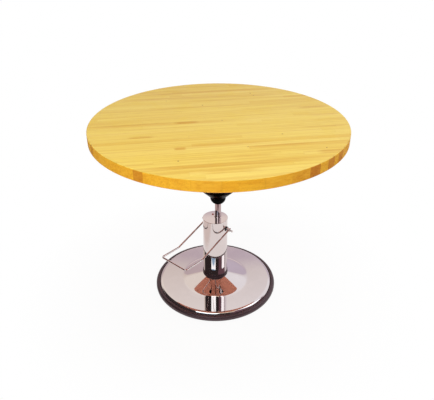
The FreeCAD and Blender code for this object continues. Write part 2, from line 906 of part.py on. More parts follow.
def make_column():
    length = "cap_bottom - flange_top"
    wall = tube("sleeve_tube", "column_radius", "sleeve_bore", length, y="column_y", z="flange_top")
    windows = cylinder(
        "sleeve_windows",
        "stud_radius + 2 * stop_gap",
        "2 * column_radius",
        x="-column_radius",
        y="-pivot_setback",
        z="pivot_height",
        along="X",
    )
    done(cut("sleeve_cut", wall, windows), "column_sleeve")

    cap_radius = "(column_radius + cap_overhang)"
    cap = revolve(
        "cap_disc",
        [
            ("0", "cap_bottom"),
            (cap_radius, "cap_bottom"),
            (cap_radius, "column_height"),
            ("0", "column_height"),
        ],
        y="column_y",
    )
    round_rings(cap, "cap_edge", [(cap_radius, "column_height")], "cap_edge_round")
    gland_hole = cylinder("cap_gland_hole", "gland_radius + seat_fit", "cap_thickness", z="cap_bottom")
    filler = {"x": "-filler_x", "y": "-filler_y"}
    filler_hole = cylinder(
        "cap_filler_hole", "filler_radius + seat_fit", "cap_thickness", z="cap_bottom", **filler
    )
    done(cut("cap_drilled", cap, gland_hole, filler_hole), "head_cap")

    shank = cylinder(
        "filler_shank", "filler_radius", "filler_depth", z="column_height - filler_depth", **filler
    )
    head = cylinder(
        "filler_head", "filler_head_radius", "filler_head_height", z="column_height", **filler
    )
    slot = box(
        "filler_slot",
        ("-filler_x - filler_head_radius", "-filler_x + filler_head_radius"),
        ("-filler_y - 0.5", "-filler_y + 0.5"),
        ("column_height + filler_head_height / 2", "column_height + filler_head_height"),
    )
    done(cut("filler_slotted", fuse("filler_solid", shank, head), slot), "filler_screw")

    barrel = tube(
        "cylinder_tube",
        "cylinder_radius",
        "cylinder_bore",
        "cylinder_top - cylinder_foot",
        z="cylinder_foot",
    )
    done(barrel, "ram_cylinder")

    bush_outer = "(cylinder_bore - seat_fit)"
    bush = revolve(
        "guide_bush_body",
        [
            ("ram_bore", "bush_bottom"),
            (bush_outer, "bush_bottom"),
            (bush_outer, "cylinder_top"),
            ("cylinder_radius", "cylinder_top"),
            ("cylinder_radius", "cylinder_top + bush_flange"),
            ("ram_bore", "cylinder_top + bush_flange"),
        ],
    )
    done(bush, "guide_bush")

    wiper_outer = "(ram_bore + wiper_width)"
    gland_bottom = "(cylinder_top + bush_flange + seat_fit)"
    rim_top = "(column_height + gland_rim_height)"
    gland = revolve(
        "gland_nut_body",
        [
            (f"{wiper_outer} + seat_fit", gland_bottom),
            ("gland_radius", gland_bottom),
            ("gland_radius", "column_height"),
            ("gland_rim_radius", "column_height"),
            ("gland_rim_radius", rim_top),
            ("ram_radius + air_gap", rim_top),
            ("ram_radius + air_gap", f"{rim_top} - gland_lip"),
            (f"{wiper_outer} + seat_fit", f"{rim_top} - gland_lip"),
        ],
    )
    round_rings(gland, "gland_rim_edge", [("gland_rim_radius", rim_top)], "gland_rim_height / 3")
    done(gland, "gland_nut")
    wiper = revolve(
        "wiper_body",
        [
            ("ram_bore", f"{rim_top} - gland_lip - wiper_height"),
            (wiper_outer, f"{rim_top} - gland_lip - wiper_height"),
            (wiper_outer, f"{rim_top} - gland_lip - seat_fit"),
            ("ram_bore", f"{rim_top} - gland_lip - seat_fit"),
        ],
    )
    done(wiper, "wiper_ring")

    outer = "(column_radius + collar_width)"
    bottom = "(cone_height + seat_fit)"
    top = f"({bottom} + collar_height)"
    collar = revolve(
        "foot_collar_body",
        [
            ("column_radius + seat_fit", bottom),
            (outer, bottom),
            (outer, f"{bottom} + collar_height / 3"),
            ("column_radius + collar_width * 0.7", f"{bottom} + collar_height / 2"),
            ("column_radius + collar_width * 0.7", top),
            ("column_radius + seat_fit", top),
        ],
        y="column_y",
    )
    top_ring = [("column_radius + collar_width * 0.7", top)]
    round_rings(collar, "foot_collar_edge", top_ring, "collar_width / 3")
    done(collar, "foot_collar")


# ---------------------------------------------------------------------------------------------
# Upper pump casting, with two lugs that carry the pedal's pivot
# ---------------------------------------------------------------------------------------------

def make_head():
    plate = cylinder("head_disc", "head_radius", "head_plate", y="column_y", z="head_bottom")
    cheeks = []
    for side, low, high in (("right", "lug_inner", "lug_outer"), ("left", "-lug_outer", "-lug_inner")):
        block = box(
            f"lug_block_{side}",
            (low, high),
            ("-pivot_setback - lug_radius", "-pivot_setback + lug_radius"),
            ("pivot_height", "head_bottom + stop_gap"),
        )
        eye = cylinder(
            f"lug_eye_{side}",
            "lug_radius",
            "lug_outer - lug_inner",
            x=low,
            y="-pivot_setback",
            z="pivot_height",
            along="X",
        )
        cheeks += [block, eye]
    lug_bottom = "(pivot_height - lug_radius)"
    inside = cylinder("lug_limit", "head_radius", f"cap_bottom - {lug_bottom}", y="column_y", z=lug_bottom)
    lugs = common("head_lugs", fuse("lug_blanks", *cheeks), inside)
    casting = fuse("head_blank", plate, lugs)
    seat = cylinder("head_seat", "cylinder_radius + seat_fit", "cylinder_grip + bush_flange", z="head_bottom")
    gland = cylinder("head_gland", "gland_radius + seat_fit", "head_plate", z="head_bottom")
    axle = cylinder(
        "head_axle",
        "pivot_bush_radius + seat_fit / 2",
        "2 * lug_outer",
        x="-lug_outer",
        y="-pivot_setback",
        z="pivot_height",
        along="X",
    )
    filler = cylinder(
        "head_filler", "filler_radius + seat_fit", "head_plate", x="-filler_x", y="-filler_y", z="head_bottom"
    )
    done(cut("head_casting", casting, seat, gland, axle, filler), "pump_head")

    flange = cylinder("pivot_bush_rim", "pivot_bush_radius + 2", "pivot_bush_flange", along="X")
    length = "lug_outer - lug_inner - stop_gap"
    body = cylinder("pivot_bush_body", "pivot_bush_radius", length, x="pivot_bush_flange", along="X")
    bore = cylinder("pivot_bush_hole", "pivot_bush_bore", "lug_outer", along="X")
    bush = cut("pivot_bush", fuse("pivot_bush_solid", flange, body), bore)
    reach = number("lug_inner - pivot_bush_flange")
    spots = []
    for turn in (Rotation(), Rotation(Vector(0, 0, 1), 180)):
        place = Placement(Vector(0, -number("pivot_setback"), number("pivot_height")), turn)
        spots.append(place.multiply(Placement(Vector(reach, 0, 0), Rotation())))
    done(copies("pivot_bush_pair", bush, spots), "pivot_bushes")


# ---------------------------------------------------------------------------------------------
# Lower pump casting, oil tank, plunger pump and valves
# ---------------------------------------------------------------------------------------------

RELEASE_AXIS = {"x": "release_x", "y": "-release_y"}


def make_pump_body():
    flange = cylinder("flange_disc", "flange_radius", "flange_thickness", y="column_y", z="casting_top")
    rise = "cylinder_foot + cylinder_boss_grip - casting_top"
    cylinder_boss = cylinder("cylinder_boss", "cylinder_radius + cylinder_boss_wall", rise, z="casting_top")
    boss_radius = "barrel_radius + barrel_boss_wall"
    barrel_boss = cylinder(
        "barrel_boss", boss_radius, "barrel_seat + barrel_grip", y="plunger_y", z="casting_top"
    )
    web = box(
        "boss_web",
        ("-web_width / 2", "web_width / 2"),
        ("plunger_y", "0"),
        ("casting_top", "cylinder_foot + cylinder_boss_grip"),
    )
    release_boss = cylinder(
        "release_boss", "release_boss_radius", "release_boss_height", z="casting_top", **RELEASE_AXIS
    )
    body = fuse("pump_blank", flange, cylinder_boss, barrel_boss, web, release_boss)
    socket_radius = "barrel_radius + seat_fit"
    rod_bore = "release_rod_radius + running_fit"
    bores = [
        cylinder("cylinder_socket", "cylinder_radius + seat_fit", "column_height", z="cylinder_foot"),
        cylinder(
            "cylinder_chamber",
            "chamber_radius",
            "cylinder_seat - chamber_floor",
            z="casting_top + chamber_floor",
        ),
        cylinder("barrel_socket", socket_radius, "column_height", y="plunger_y", z="barrel_bottom"),
        cylinder(
            "inlet_chamber",
            "inlet_chamber_radius",
            "barrel_seat - inlet_seat",
            y="plunger_y",
            z="inlet_level",
        ),
        cylinder(
            "inlet_bore",
            "valve_seat_radius",
            "inlet_seat - inlet_port",
            y="plunger_y",
            z="casting_top + inlet_port",
        ),
        cylinder(
            "inlet_port_bore",
            "passage_radius",
            "barrel_radius + 2 * barrel_boss_wall",
            y="plunger_y - barrel_radius - 2 * barrel_boss_wall",
            z="casting_top + inlet_port",
            along="Y",
        ),
        cylinder("outlet_pocket", "valve_pocket_radius", "outlet_seat", y="outlet_y", z="casting_top"),
        cylinder("outlet_bore", "valve_seat_radius", "outlet_bore_depth", y="outlet_y", z="outlet_level"),
        cylinder(
            "pump_passage",
            "passage_radius",
            "outlet_y - plunger_y",
            y="plunger_y",
            z="outlet_level + outlet_bore_depth / 2",
            along="Y",
        ),
        cylinder(
            "lift_passage",
            "passage_radius",
            "-outlet_y",
            y="outlet_y",
            z="casting_top + outlet_port",
            along="Y",
        ),
        cylinder(
            "release_pocket",
            "release_pocket_radius",
            "release_pocket_height",
            z="casting_top",
            **RELEASE_AXIS,
        ),
        cylinder("release_guide", rod_bore, "release_boss_height", z="casting_top", **RELEASE_AXIS),
    ]
    thread = cylinder("base_bolt_thread", "base_bolt_radius + seat_fit / 2", "base_bolt_depth")
    bores.append(copies("base_bolt_threads", thread, base_bolt_places("casting_top")))
    done(cut("pump_casting", body, *bores), "pump_body")


def make_tank():
    wall = tube(
        "tank_tube",
        "tank_radius",
        "tank_radius - tank_wall",
        "tank_top - flange_top",
        y="column_y",
        z="flange_top",
    )
    done(wall, "oil_tank")
    lid = cylinder("tank_lid", "tank_radius", "tank_cover_thickness", y="column_y", z="tank_top")
    thick = "tank_cover_thickness"
    filler = {"x": "-filler_x", "y": "-filler_y"}
    holes = [
        cylinder("lid_ram_hole", "cylinder_radius + seat_fit", thick, z="tank_top"),
        cylinder("lid_barrel_hole", "barrel_radius + seat_fit", thick, y="plunger_y", z="tank_top"),
        cylinder("lid_rod_hole", "release_rod_radius + running_fit", thick, z="tank_top", **RELEASE_AXIS),
        cylinder("lid_filler_hole", "filler_radius + stop_gap", thick, z="tank_top", **filler),
    ]
    done(cut("tank_lid_drilled", lid, *holes), "tank_cover")


def make_plunger():
    bore = "(plunger_radius + running_fit)"
    barrel = tube(
        "barrel_tube", "barrel_radius", bore, "barrel_top - barrel_bottom", y="plunger_y", z="barrel_bottom"
    )
    done(barrel, "plunger_barrel")
    foot = "(barrel_bottom + plunger_stroke + plunger_foot_gap)"
    head = "(plunger_top - plunger_head_height)"
    groove = f"({foot} + plunger_seal_lift)"
    groove_top = f"({groove} + plunger_seal_height)"
    neck = "(plunger_radius - plunger_seal_depth)"
    plunger = revolve(
        "plunger_body",
        [
            ("0", foot),
            ("plunger_radius", foot),
            ("plunger_radius", groove),
            (neck, groove),
            (neck, groove_top),
            ("plunger_radius", groove_top),
            ("plunger_radius", head),
            ("plunger_head_radius", head),
            ("plunger_head_radius", "plunger_top"),
            ("0", "plunger_top"),
        ],
        y="plunger_y",
    )
    round_rings(plunger, "plunger_head_edge", [("plunger_head_radius", "plunger_top")], "stop_gap")
    done(plunger, "pump_plunger")
    seal = tube(
        "plunger_seal_ring",
        "plunger_radius",
        f"{neck} + seat_fit / 2",
        "plunger_seal_height - seat_fit",
        y="plunger_y",
        z=groove,
    )
    done(seal, "plunger_seal")
    coil(
        "return_spring",
        "spring_radius",
        "spring_wire",
        "barrel_top + seat_fit",
        f"{head} - seat_fit",
        "spring_turns",
        y="plunger_y",
    )


def make_valves():
    done(ball("inlet_valve_ball", "valve_ball_radius", y="plunger_y", z="inlet_ball_height"), "inlet_ball")
    cage_bottom = "(barrel_bottom - inlet_cage_height)"
    cage = tube(
        "inlet_cage_ring",
        "inlet_chamber_radius - seat_fit / 2",
        "valve_seat_radius",
        "inlet_cage_height",
        y="plunger_y",
        z=cage_bottom,
    )
    done(cage, "inlet_cage")
    coil(
        "inlet_spring",
        "valve_spring_radius",
        "valve_spring_wire",
        "inlet_ball_height + valve_ball_radius + seat_fit",
        f"{cage_bottom} - seat_fit",
        "valve_spring_turns",
        y="plunger_y",
    )
    done(ball("outlet_valve_ball", "valve_ball_radius", y="outlet_y", z="outlet_ball_height"), "outlet_ball")
    plug_bottom = "(casting_top + outlet_plug_bottom)"
    at = {"y": "outlet_y", "z": plug_bottom}
    plug = cylinder("outlet_plug_body", "valve_pocket_radius - seat_fit / 2", "outlet_plug_length", **at)
    key = hexagon("outlet_plug_key", "valve_pocket_radius", "outlet_plug_length / 3", **at)
    done(cut("outlet_plug_cut", plug, key), "outlet_plug")
    coil(
        "outlet_spring",
        "valve_spring_radius",
        "valve_spring_wire",
        f"{plug_bottom} + outlet_plug_length + seat_fit",
        "outlet_ball_height - valve_ball_radius - seat_fit",
        "valve_spring_turns",
        y="outlet_y",
    )


def make_release():
    """The rod that the lever pushes at the end of its travel, with its valve head at the foot."""
    drop = "(release_y - pivot_setback + release_rod_radius) * tan(pedal_sweep / 2)"
    top = f"(pivot_height - {drop} - lever_thickness / 2 / cos(pedal_sweep / 2) - air_gap)"
    pocket_top = "(casting_top + release_pocket_height)"
    head_top = f"({pocket_top} - air_gap)"
    head_bottom = f"({head_top} - release_head_height)"
    head_radius = "(release_pocket_radius - air_gap * 2)"
    collar = "(tank_cover_top + release_spring_length)"
    rod = revolve(
        "release_rod_body",
        [
            ("0", head_bottom),
            (head_radius, head_bottom),
            (head_radius, f"{head_top} - air_gap"),
            ("release_rod_radius", head_top),
            ("release_rod_radius", collar),
            ("release_collar_radius", collar),
            ("release_collar_radius", f"{collar} + release_collar_height"),
            ("release_rod_radius", f"{collar} + release_collar_height"),
            ("release_rod_radius", top),
            ("0", top),
        ],
    )
    round_rings(rod, "release_rod_tip", [("release_rod_radius", top)], "release_rod_radius / 3")
    put(rod, **RELEASE_AXIS)
    done(rod, "release_rod")
    coil(
        "release_spring",
        "release_spring_radius",
        "release_spring_wire",
        "tank_cover_top + seat_fit",
        f"{collar} - seat_fit",
        "release_spring_turns",
        **RELEASE_AXIS,
    )


# ---------------------------------------------------------------------------------------------
# Pedal: lever inside the column, pivot studs, bent rod
# ---------------------------------------------------------------------------------------------


def make_lever():
    """The fork inside the column: two cheeks on the studs that straddle the ram's cylinder, and a
    nose that pushes the plunger. It is drawn level, with its pivot at the body's origin."""
    fork = new_body("lever_fork")
    plan = new_sketch(fork, "lever_plan", "XY_Plane")
    tip = "(lever_tip_width / 2)"
    throat = "(lever_shoulder + 2 * stop_gap)"
    end = "lever_nose_radius / 2"
    outline(
        plan,
        [
            (f"-{tip}", f"-lever_length - {end}"),
            (tip, f"-lever_length - {end}"),
            (tip, f"-{throat} - {tip}"),
            ("lever_outer", "-lever_shoulder"),
            ("lever_outer", "lever_heel"),
            ("lever_inner", "lever_heel"),
            ("lever_inner", "-lever_heel"),
            (tip, f"-{throat}"),
            (f"-{tip}", f"-{throat}"),
            ("-lever_inner", "-lever_heel"),
            ("-lever_inner", "lever_heel"),
            ("-lever_outer", "lever_heel"),
            ("-lever_outer", "-lever_shoulder"),
            (f"-{tip}", f"-{throat} - {tip}"),
        ],
    )
    pad(fork, "lever_bars", plan, "lever_thickness", symmetric=True)
    nose = new_sketch(fork, "lever_nose_end", "YZ_Plane")
    disc(nose, "lever_nose_radius", "-lever_length", "-lever_nose_drop")
    pad(fork, "lever_nose", nose, "lever_tip_width", symmetric=True)
    eye = new_sketch(fork, "lever_eye_end", "YZ_Plane", "lever_inner")
    disc(eye, "lever_boss_radius")
    first = pad(fork, "lever_eye", eye, "lever_outer - lever_inner")
    other = feature(fork, "Mirrored", "lever_eyes")
    other.Originals = [first]
    other.MirrorPlane = (plane(fork, "YZ_Plane"), [""])
    fork.Tip = other
    bore = new_sketch(fork, "lever_bore_end", "YZ_Plane")
    disc(bore, "stud_radius + seat_fit / 2")
    pad(fork, "lever_bore", bore, "3 * lever_outer", symmetric=True, kind="Pocket")
    pins = new_sketch(fork, "lever_pin_ends", "XY_Plane")
    for sign in ("", "-"):
        disc(pins, "yoke_pin_radius + seat_fit / 2", f"{sign}(lever_inner + lever_outer) / 2")
    pad(fork, "lever_pin_holes", pins, "3 * lever_boss_radius", symmetric=True, kind="Pocket")
    fork.Placement = Placement(Vector(), Rotation(Vector(1, 0, 0), -1))
    link(fork, "Placement.Rotation.Angle", "-lever_rise")
    put(fork, "0", "-pivot_setback", "pivot_height")
    done(fork, "lever_yoke")

    tilt = Rotation(Vector(1, 0, 0), -number("lever_rise"))
    pivot = Placement(Vector(0, -number("pivot_setback"), number("pivot_height")), tilt)
    pin = cylinder("yoke_pin", "yoke_pin_radius", "2 * lever_boss_radius", z="-lever_boss_radius")
    side = number("(lever_inner + lever_outer) / 2")
    spots = [pivot.multiply(Placement(Vector(x, 0, 0), Rotation())) for x in (side, -side)]
    done(copies("yoke_pin_pair", pin, spots), "yoke_pins")
    hole = cylinder(
        "yoke_pin_hole", "yoke_pin_radius + seat_fit / 2", "2 * lever_boss_radius", z="-lever_boss_radius"
    )
    return copies("yoke_pin_holes", hole, spots)


def make_stud(side, sign, pin_holes):
    """A pivot stud: pinned in the lever's eye, turning in its bush, drilled across for the rod."""

    def along(name, radius, low, high):
        start = low if sign == "" else f"-({high})"
        return cylinder(
            f"stud_{side}_{name}",
            radius,
            f"({high}) - ({low})",
            x=start,
            y="-pivot_setback",
            z="pivot_height",
            along="X",
        )

    shank = along("shank", "stud_radius", "lever_inner + stop_gap / 2", "stud_end")
    shoulder_start = "(column_radius + stud_seal_width + air_gap)"
    shoulder = along(
        "shoulder", "stud_shoulder_radius", shoulder_start, f"{shoulder_start} + stud_shoulder_width"
    )
    thread = along("thread", "clamp_thread_radius + seat_fit / 2", "pedal_pivot_spread", "stud_end")
    cross = doc.addObject("Part::Cylinder", f"stud_{side}_cross_hole")
    link(cross, "Radius", "rod_radius + seat_fit / 2")
    link(cross, "Height", "4 * stud_radius")
    cross.Placement = Placement(Vector(), Rotation(Vector(1, 0, 0), -1))
    link(cross, "Placement.Rotation.Angle", "rod_slope - 90 deg")
    reach = "(2 * stud_radius)"
    put(
        cross,
        f"{sign}pedal_pivot_spread",
        f"-pivot_setback - {reach} * cos(rod_slope)",
        f"pivot_height - {reach} * sin(rod_slope)",
    )
    blank = fuse(f"stud_{side}_blank", shank, shoulder)
    done(cut(f"stud_{side}_drilled", blank, thread, cross, pin_holes), f"pivot_stud_{side}")


def make_clamp_screws():
    """Screws in the studs' ends that clamp the rod; their heads flare outwards."""
    tip = "(pedal_pivot_spread + rod_radius + seat_fit)"
    thread = cylinder("clamp_thread", "clamp_thread_radius", f"stud_end - {tip}", x=tip, along="X")
    neck = cylinder("clamp_neck", "clamp_neck_radius", "clamp_neck_length", x="stud_end", along="X")
    head = cone(
        "clamp_head",
        "clamp_neck_radius",
        "clamp_head_radius",
        "clamp_head_length",
        x="stud_end + clamp_neck_length",
        along="X",
    )
    screw = fuse("clamp_screw", thread, neck, head)
    spots = []
    for turn in (Rotation(), Rotation(Vector(0, 0, 1), 180)):
        spots.append(Placement(Vector(0, -number("pivot_setback"), number("pivot_height")), turn))
    done(copies("clamp_screw_pair", screw, spots), "clamp_screws")

    reach = "column_radius + stud_seal_width"
    ring = tube("stud_seal_blank", "stud_seal_radius", "stud_radius + seat_fit", reach, along="X")
    seals = copies("stud_seal_blanks", ring, spots)
    body = cylinder("stud_seal_limit", "column_radius", "column_height", y="column_y")
    done(cut("stud_seal_pair", seals, body), "stud_seals")


def bent_wire(points, bends):
    """Straight runs through the points, joined by tangent arcs of the given radii."""
    edges = []
    start = points[0]
    for before, corner, after, radius in zip(points, points[1:], points[2:], bends):
        back = (before - corner).normalize()
        ahead = (after - corner).normalize()
        half = back.getAngle(ahead) / 2
        reach = radius / math.tan(half)
        middle = corner + (back + ahead).normalize() * (radius / math.sin(half))
        first = corner + back * reach
        last = corner + ahead * reach
        inner = middle + (corner - middle).normalize() * radius
        edges.append(Part.LineSegment(start, first).toShape())
        edges.append(Part.Arc(first, inner, last).toShape())
        start = last
    edges.append(Part.LineSegment(start, points[-1]).toShape())
    return Part.Wire(edges)


def make_bail():
    """The pedal: one bent rod, from stud to stud round the foot bar."""
    slope = number("rod_slope")
    over = number("pedal_rod_overhang")
    pivot_y = -number("pivot_setback")
    pivot_z = number("pivot_height")
    end = (
        number("pedal_pivot_spread"),
        pivot_y + over * math.cos(math.radians(slope)),
        pivot_z + over * math.sin(math.radians(slope)),
    )
    share = number("pedal_knee_reach / pedal_bar_reach")
    spread = number("pedal_pivot_spread + (pedal_bar_spread - pedal_pivot_spread)") * share
    spread += number("pedal_pivot_spread") * (1 - share)
    knee = (spread, pivot_y - number("pedal_knee_reach"), pivot_z - number("pedal_knee_drop"))
    bar = (
        number("pedal_bar_spread"),
        pivot_y - number("pedal_bar_reach"),
        pivot_z - number("pedal_bar_drop"),
    )
    right = [Vector(*end), Vector(*knee), Vector(*bar)]
    left = [Vector(-p.x, p.y, p.z) for p in reversed(right)]
    knee_bend, corner_bend = number("pedal_knee_bend"), number("pedal_corner_bend")
    bends = [knee_bend, corner_bend, corner_bend, knee_bend]
    wire = bent_wire(right + left, bends)
    spine = doc.addObject("Part::Feature", "pedal_path")
    spine.Shape = wire
    circle = doc.addObject("Part::Circle", "pedal_section")
    link(circle, "Radius", "rod_radius")
    direction = right[1] - right[0]
    circle.Placement = Placement(right[0], Rotation(Vector(0, 0, 1), direction))
    rod = doc.addObject("Part::Sweep", "pedal_rod")
    rod.Sections = [circle]
    rod.Spine = (spine, [f"Edge{i}" for i in range(1, len(wire.Edges) + 1)])
    rod.Solid = True
    rod.Frenet = False
    done(rod, "pedal_bail")


# ---------------------------------------------------------------------------------------------
# Base: ribbed casting, spun cover, rubber bumper ring, bolts
# ---------------------------------------------------------------------------------------------


def base_bolt_places(height):
    """Places of the bolts that hold the pump on the base, on a circle round the column's axis."""
    column = Placement(Vector(0, number("column_y"), 0), Rotation())
    for turn in around("base_bolt_count", "360 / base_bolt_count / 2"):
        spot = Placement(Vector(number("base_bolt_circle"), 0, number(height)), Rotation())
        yield column.multiply(turn).multiply(spot)


def make_base():
    plate_bottom = "(casting_top - casting_plate)"
    casting = revolve(
        "casting_blank",
        [
            ("0", "casting_boss_bottom"),
            ("casting_boss_radius", "casting_boss_bottom"),
            ("casting_boss_radius + casting_plate", plate_bottom),
            ("casting_radius - casting_rim_width", plate_bottom),
            ("casting_radius - casting_rim_width", "bumper_lip_height"),
            ("casting_radius", "bumper_lip_height"),
            ("casting_radius", "casting_top"),
            ("0", "casting_top"),
        ],
        y="column_y",
    )
    corner = [("casting_radius", "casting_top")]
    round_rings(casting, "casting_shoulder", corner, "cover_edge_round - cover_wall")
    ribs = new_sketch(casting, "rib_plan", "XY_Plane", "rib_bottom")
    near = "(casting_boss_radius - rib_width)"
    far = "(casting_radius - casting_rim_width / 2)"
    outline(
        ribs,
        [
            (near, "-rib_width / 2"),
            (far, "-rib_width / 2"),
            (far, "rib_width / 2"),
            (near, "rib_width / 2"),
        ],
    )
    rib = pad(casting, "rib", ribs, f"{plate_bottom} + stop_gap - rib_bottom")
    polar(casting, "casting_ribs", rib, "rib_count")
    hole = cylinder("base_bolt_hole", "base_bolt_radius + air_gap", "casting_top")
    holes = copies("base_bolt_holes", hole, base_bolt_places("0"))
    done(cut("casting_drilled", casting, holes), "base_casting")

    shank_length = "(base_washer_thickness + base_bolt_depth - seat_fit)"
    shank = cylinder(
        "base_bolt_shank", "base_bolt_radius", f"casting_top - casting_boss_bottom + {shank_length}"
    )
    head = hexagon("base_bolt_head", "base_bolt_across", "base_bolt_head_height", z="-base_bolt_head_height")
    bolt = fuse("base_bolt", shank, head)
    under = "casting_boss_bottom - base_washer_thickness"
    done(copies("base_bolt_group", bolt, base_bolt_places(under)), "base_bolts")
    washer = tube("base_washer", "base_washer_radius", "base_bolt_radius + air_gap", "base_washer_thickness")
    done(copies("base_washer_group", washer, base_bolt_places(under)), "base_washers")

    inner = "(cover_radius - cover_wall)"
    skirt = "(cover_height - cover_skirt_drop)"
    lean = "(cone_height - cover_height) / (cone_radius - cone_hole_radius)"
    slant = f"(cover_wall / cos(atan({lean})))"
    cover = revolve(
        "cover_shell",
        [
            ("cone_hole_radius", f"cone_height - {slant}"),
            ("cone_hole_radius", "cone_height"),
            ("cone_radius", "cover_height"),
            ("cover_radius", "cover_height"),
            ("cover_radius", skirt),
            (inner, skirt),
            (inner, "casting_top"),
            ("cone_radius", "casting_top"),
        ][::-1],
        y="column_y",
    )
    round_rings(cover, "cover_rolled_edge", [("cover_radius", "cover_height")], "cover_edge_round")
    inner_round = "cover_edge_round - cover_wall"
    round_rings(cover, "cover_rolled_inside", [(inner, "casting_top")], inner_round)
    round_rings(cover, "cover_cone_sweep", [("cone_radius", "cover_height")], "cone_sweep")
    round_rings(cover, "cover_sweep_inside", [("cone_radius", "casting_top")], "cone_sweep + cover_wall")
    done(cover, "base_cover")

    ring_inner = "(cover_radius + seat_fit)"
    step = f"({skirt} - seat_fit)"
    bumper = revolve(
        "bumper_body",
        [
            ("casting_radius - bumper_lip", "0"),
            ("base_radius", "0"),
            ("base_radius", "bumper_height"),
            (ring_inner, "bumper_height"),
            (ring_inner, step),
            ("casting_radius + seat_fit", step),
            ("casting_radius + seat_fit", "bumper_lip_height"),
            ("casting_radius - bumper_lip", "bumper_lip_height"),
        ],
        y="column_y",
    )
    round_rings(bumper, "bumper_crown", [("base_radius", "bumper_height")], "bumper_top_round")
    round_rings(bumper, "bumper_groove", [(ring_inner, "bumper_height")], "bumper_inner_round")
    round_rings(bumper, "bumper_foot", [("base_radius", "0")], "bumper_bottom_round")
    done(bumper, "bumper_ring")


# ---------------------------------------------------------------------------------------------
# Build, check and export
# ---------------------------------------------------------------------------------------------

make_top()
make_spider()
make_ram()
make_piston()
make_column()
make_head()
make_pump_body()
make_tank()
make_plunger()
make_valves()
make_release()
yoke_pin_holes = make_lever()
make_stud("right", "", yoke_pin_holes)
make_stud("left", "-", yoke_pin_holes)
make_clamp_screws()
make_bail()
make_base()
doc.recompute()

failed = [item.Name for item in doc.Objects if {"Invalid", "Error"} & set(item.State)]
if failed:
    raise RuntimeError(f"these objects failed: {', '.join(failed)}")
for piece in OUTPUT:
    if piece.Shape.isNull() or not piece.Shape.isValid() or not piece.Shape.Solids:
        raise RuntimeError(f"{piece.Label} has no valid solid")

os.makedirs("parts", exist_ok=True)
for piece in OUTPUT:
    piece.Shape.exportStep(os.path.join("parts", f"{piece.Label}.step"))
    solids = piece.Shape.Solids
    print(f"{piece.Label}: {len(solids)} solid(s), {sum(s.Volume for s in solids) / 1000:.1f} cm3")
print(f"{len(OUTPUT)} nodes")
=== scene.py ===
# %% [markdown]
# # A butcher-block table on a hydraulic pedestal
#
# The table has two halves that share nothing but an axle: a thick round top glued from maple staves, and
# the pump pedestal of a barber chair, mostly chrome. Chrome has no colour of its own, so half of this
# lesson is about what stands round the table: the floor, the pale wall behind, the dark room in front.
#
# The CAD model is loaded first and never changed. It gives every size and place. Blender only dresses it:
# a smoother mesh for what is polished, a finish for what is not.

# %% Load the model and remember its box
import json
import math

import bmesh
import bpy
import numpy as np
from mathutils import Matrix, Vector


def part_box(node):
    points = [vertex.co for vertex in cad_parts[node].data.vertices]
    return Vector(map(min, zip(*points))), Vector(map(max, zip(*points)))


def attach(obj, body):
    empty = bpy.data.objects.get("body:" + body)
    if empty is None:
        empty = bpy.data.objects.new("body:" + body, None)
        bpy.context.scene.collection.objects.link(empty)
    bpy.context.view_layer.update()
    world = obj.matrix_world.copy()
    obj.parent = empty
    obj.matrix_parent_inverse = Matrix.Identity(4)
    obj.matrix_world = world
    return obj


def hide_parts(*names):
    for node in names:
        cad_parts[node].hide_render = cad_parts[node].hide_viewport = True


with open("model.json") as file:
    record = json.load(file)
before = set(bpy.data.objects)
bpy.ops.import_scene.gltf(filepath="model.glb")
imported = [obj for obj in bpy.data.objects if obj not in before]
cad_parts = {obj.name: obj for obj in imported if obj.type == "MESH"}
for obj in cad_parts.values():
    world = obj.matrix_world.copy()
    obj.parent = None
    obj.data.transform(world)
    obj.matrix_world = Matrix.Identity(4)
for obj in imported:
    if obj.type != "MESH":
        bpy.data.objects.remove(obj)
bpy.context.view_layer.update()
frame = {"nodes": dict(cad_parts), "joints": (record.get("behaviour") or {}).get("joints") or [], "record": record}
record = frame["record"]
BODY_OF = {node: body for body, nodes in record["behaviour"]["bodies"].items() for node in nodes}
SLOT_OF = {part["node"]: part["material_slot"] for part in record["subparts"]}
MM = 0.001


# %% [markdown]
# ## Reading sizes from the frame
#
# A dressed piece has to sit exactly where the CAD piece sits, so its sizes are read from the CAD node's
# box instead of being typed again. `span` gives the two corners of a node, and `middle` its centre. What
# a box can't tell, such as the radius of a rounded corner, is a named value in the cell that uses it.

# %% Boxes of nodes
def span(node):
    """Lowest and highest corner of a node, in metres."""
    low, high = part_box(node)
    return Vector(low), Vector(high)


def middle(node):
    """Centre of a node."""
    low, high = span(node)
    return (low + high) / 2


def round_size(node):
    """Radius, bottom and top of a round piece that stands upright."""
    low, high = span(node)
    return (high.x - low.x) / 2, low.z, high.z


column_axis = middle("column_sleeve")
print(f"the column stands {-column_axis.y / MM:.1f} mm towards the pedal from the middle of the top")


# %% [markdown]
# ## The camera
#
# A camera is set by where it stands and how it looks. Standing: a distance from the column, a height, and
# an azimuth round the table. Looking: a pitch down, and a degree or so of yaw and roll, because a hand
# holds no camera dead level. The lens is long for the distance, so the circle of the top stays an even
# ellipse. The shift slides the picture sideways without turning the camera.

# %% Camera
CAMERA_AZIMUTH = math.radians(41.8)
CAMERA_DISTANCE = 1.9512
CAMERA_HEIGHT = 1.5715
CAMERA_PITCH = math.radians(29.63)
CAMERA_YAW = math.radians(-0.63)
CAMERA_ROLL = math.radians(-0.37)
CAMERA_LENS = 41.76
CAMERA_SHIFT = 0.0152
CAMERA_LIFT = -0.00184


def placed(name, data):
    """A new object in the scene."""
    made = bpy.data.objects.new(name, data)
    bpy.context.scene.collection.objects.link(made)
    return made


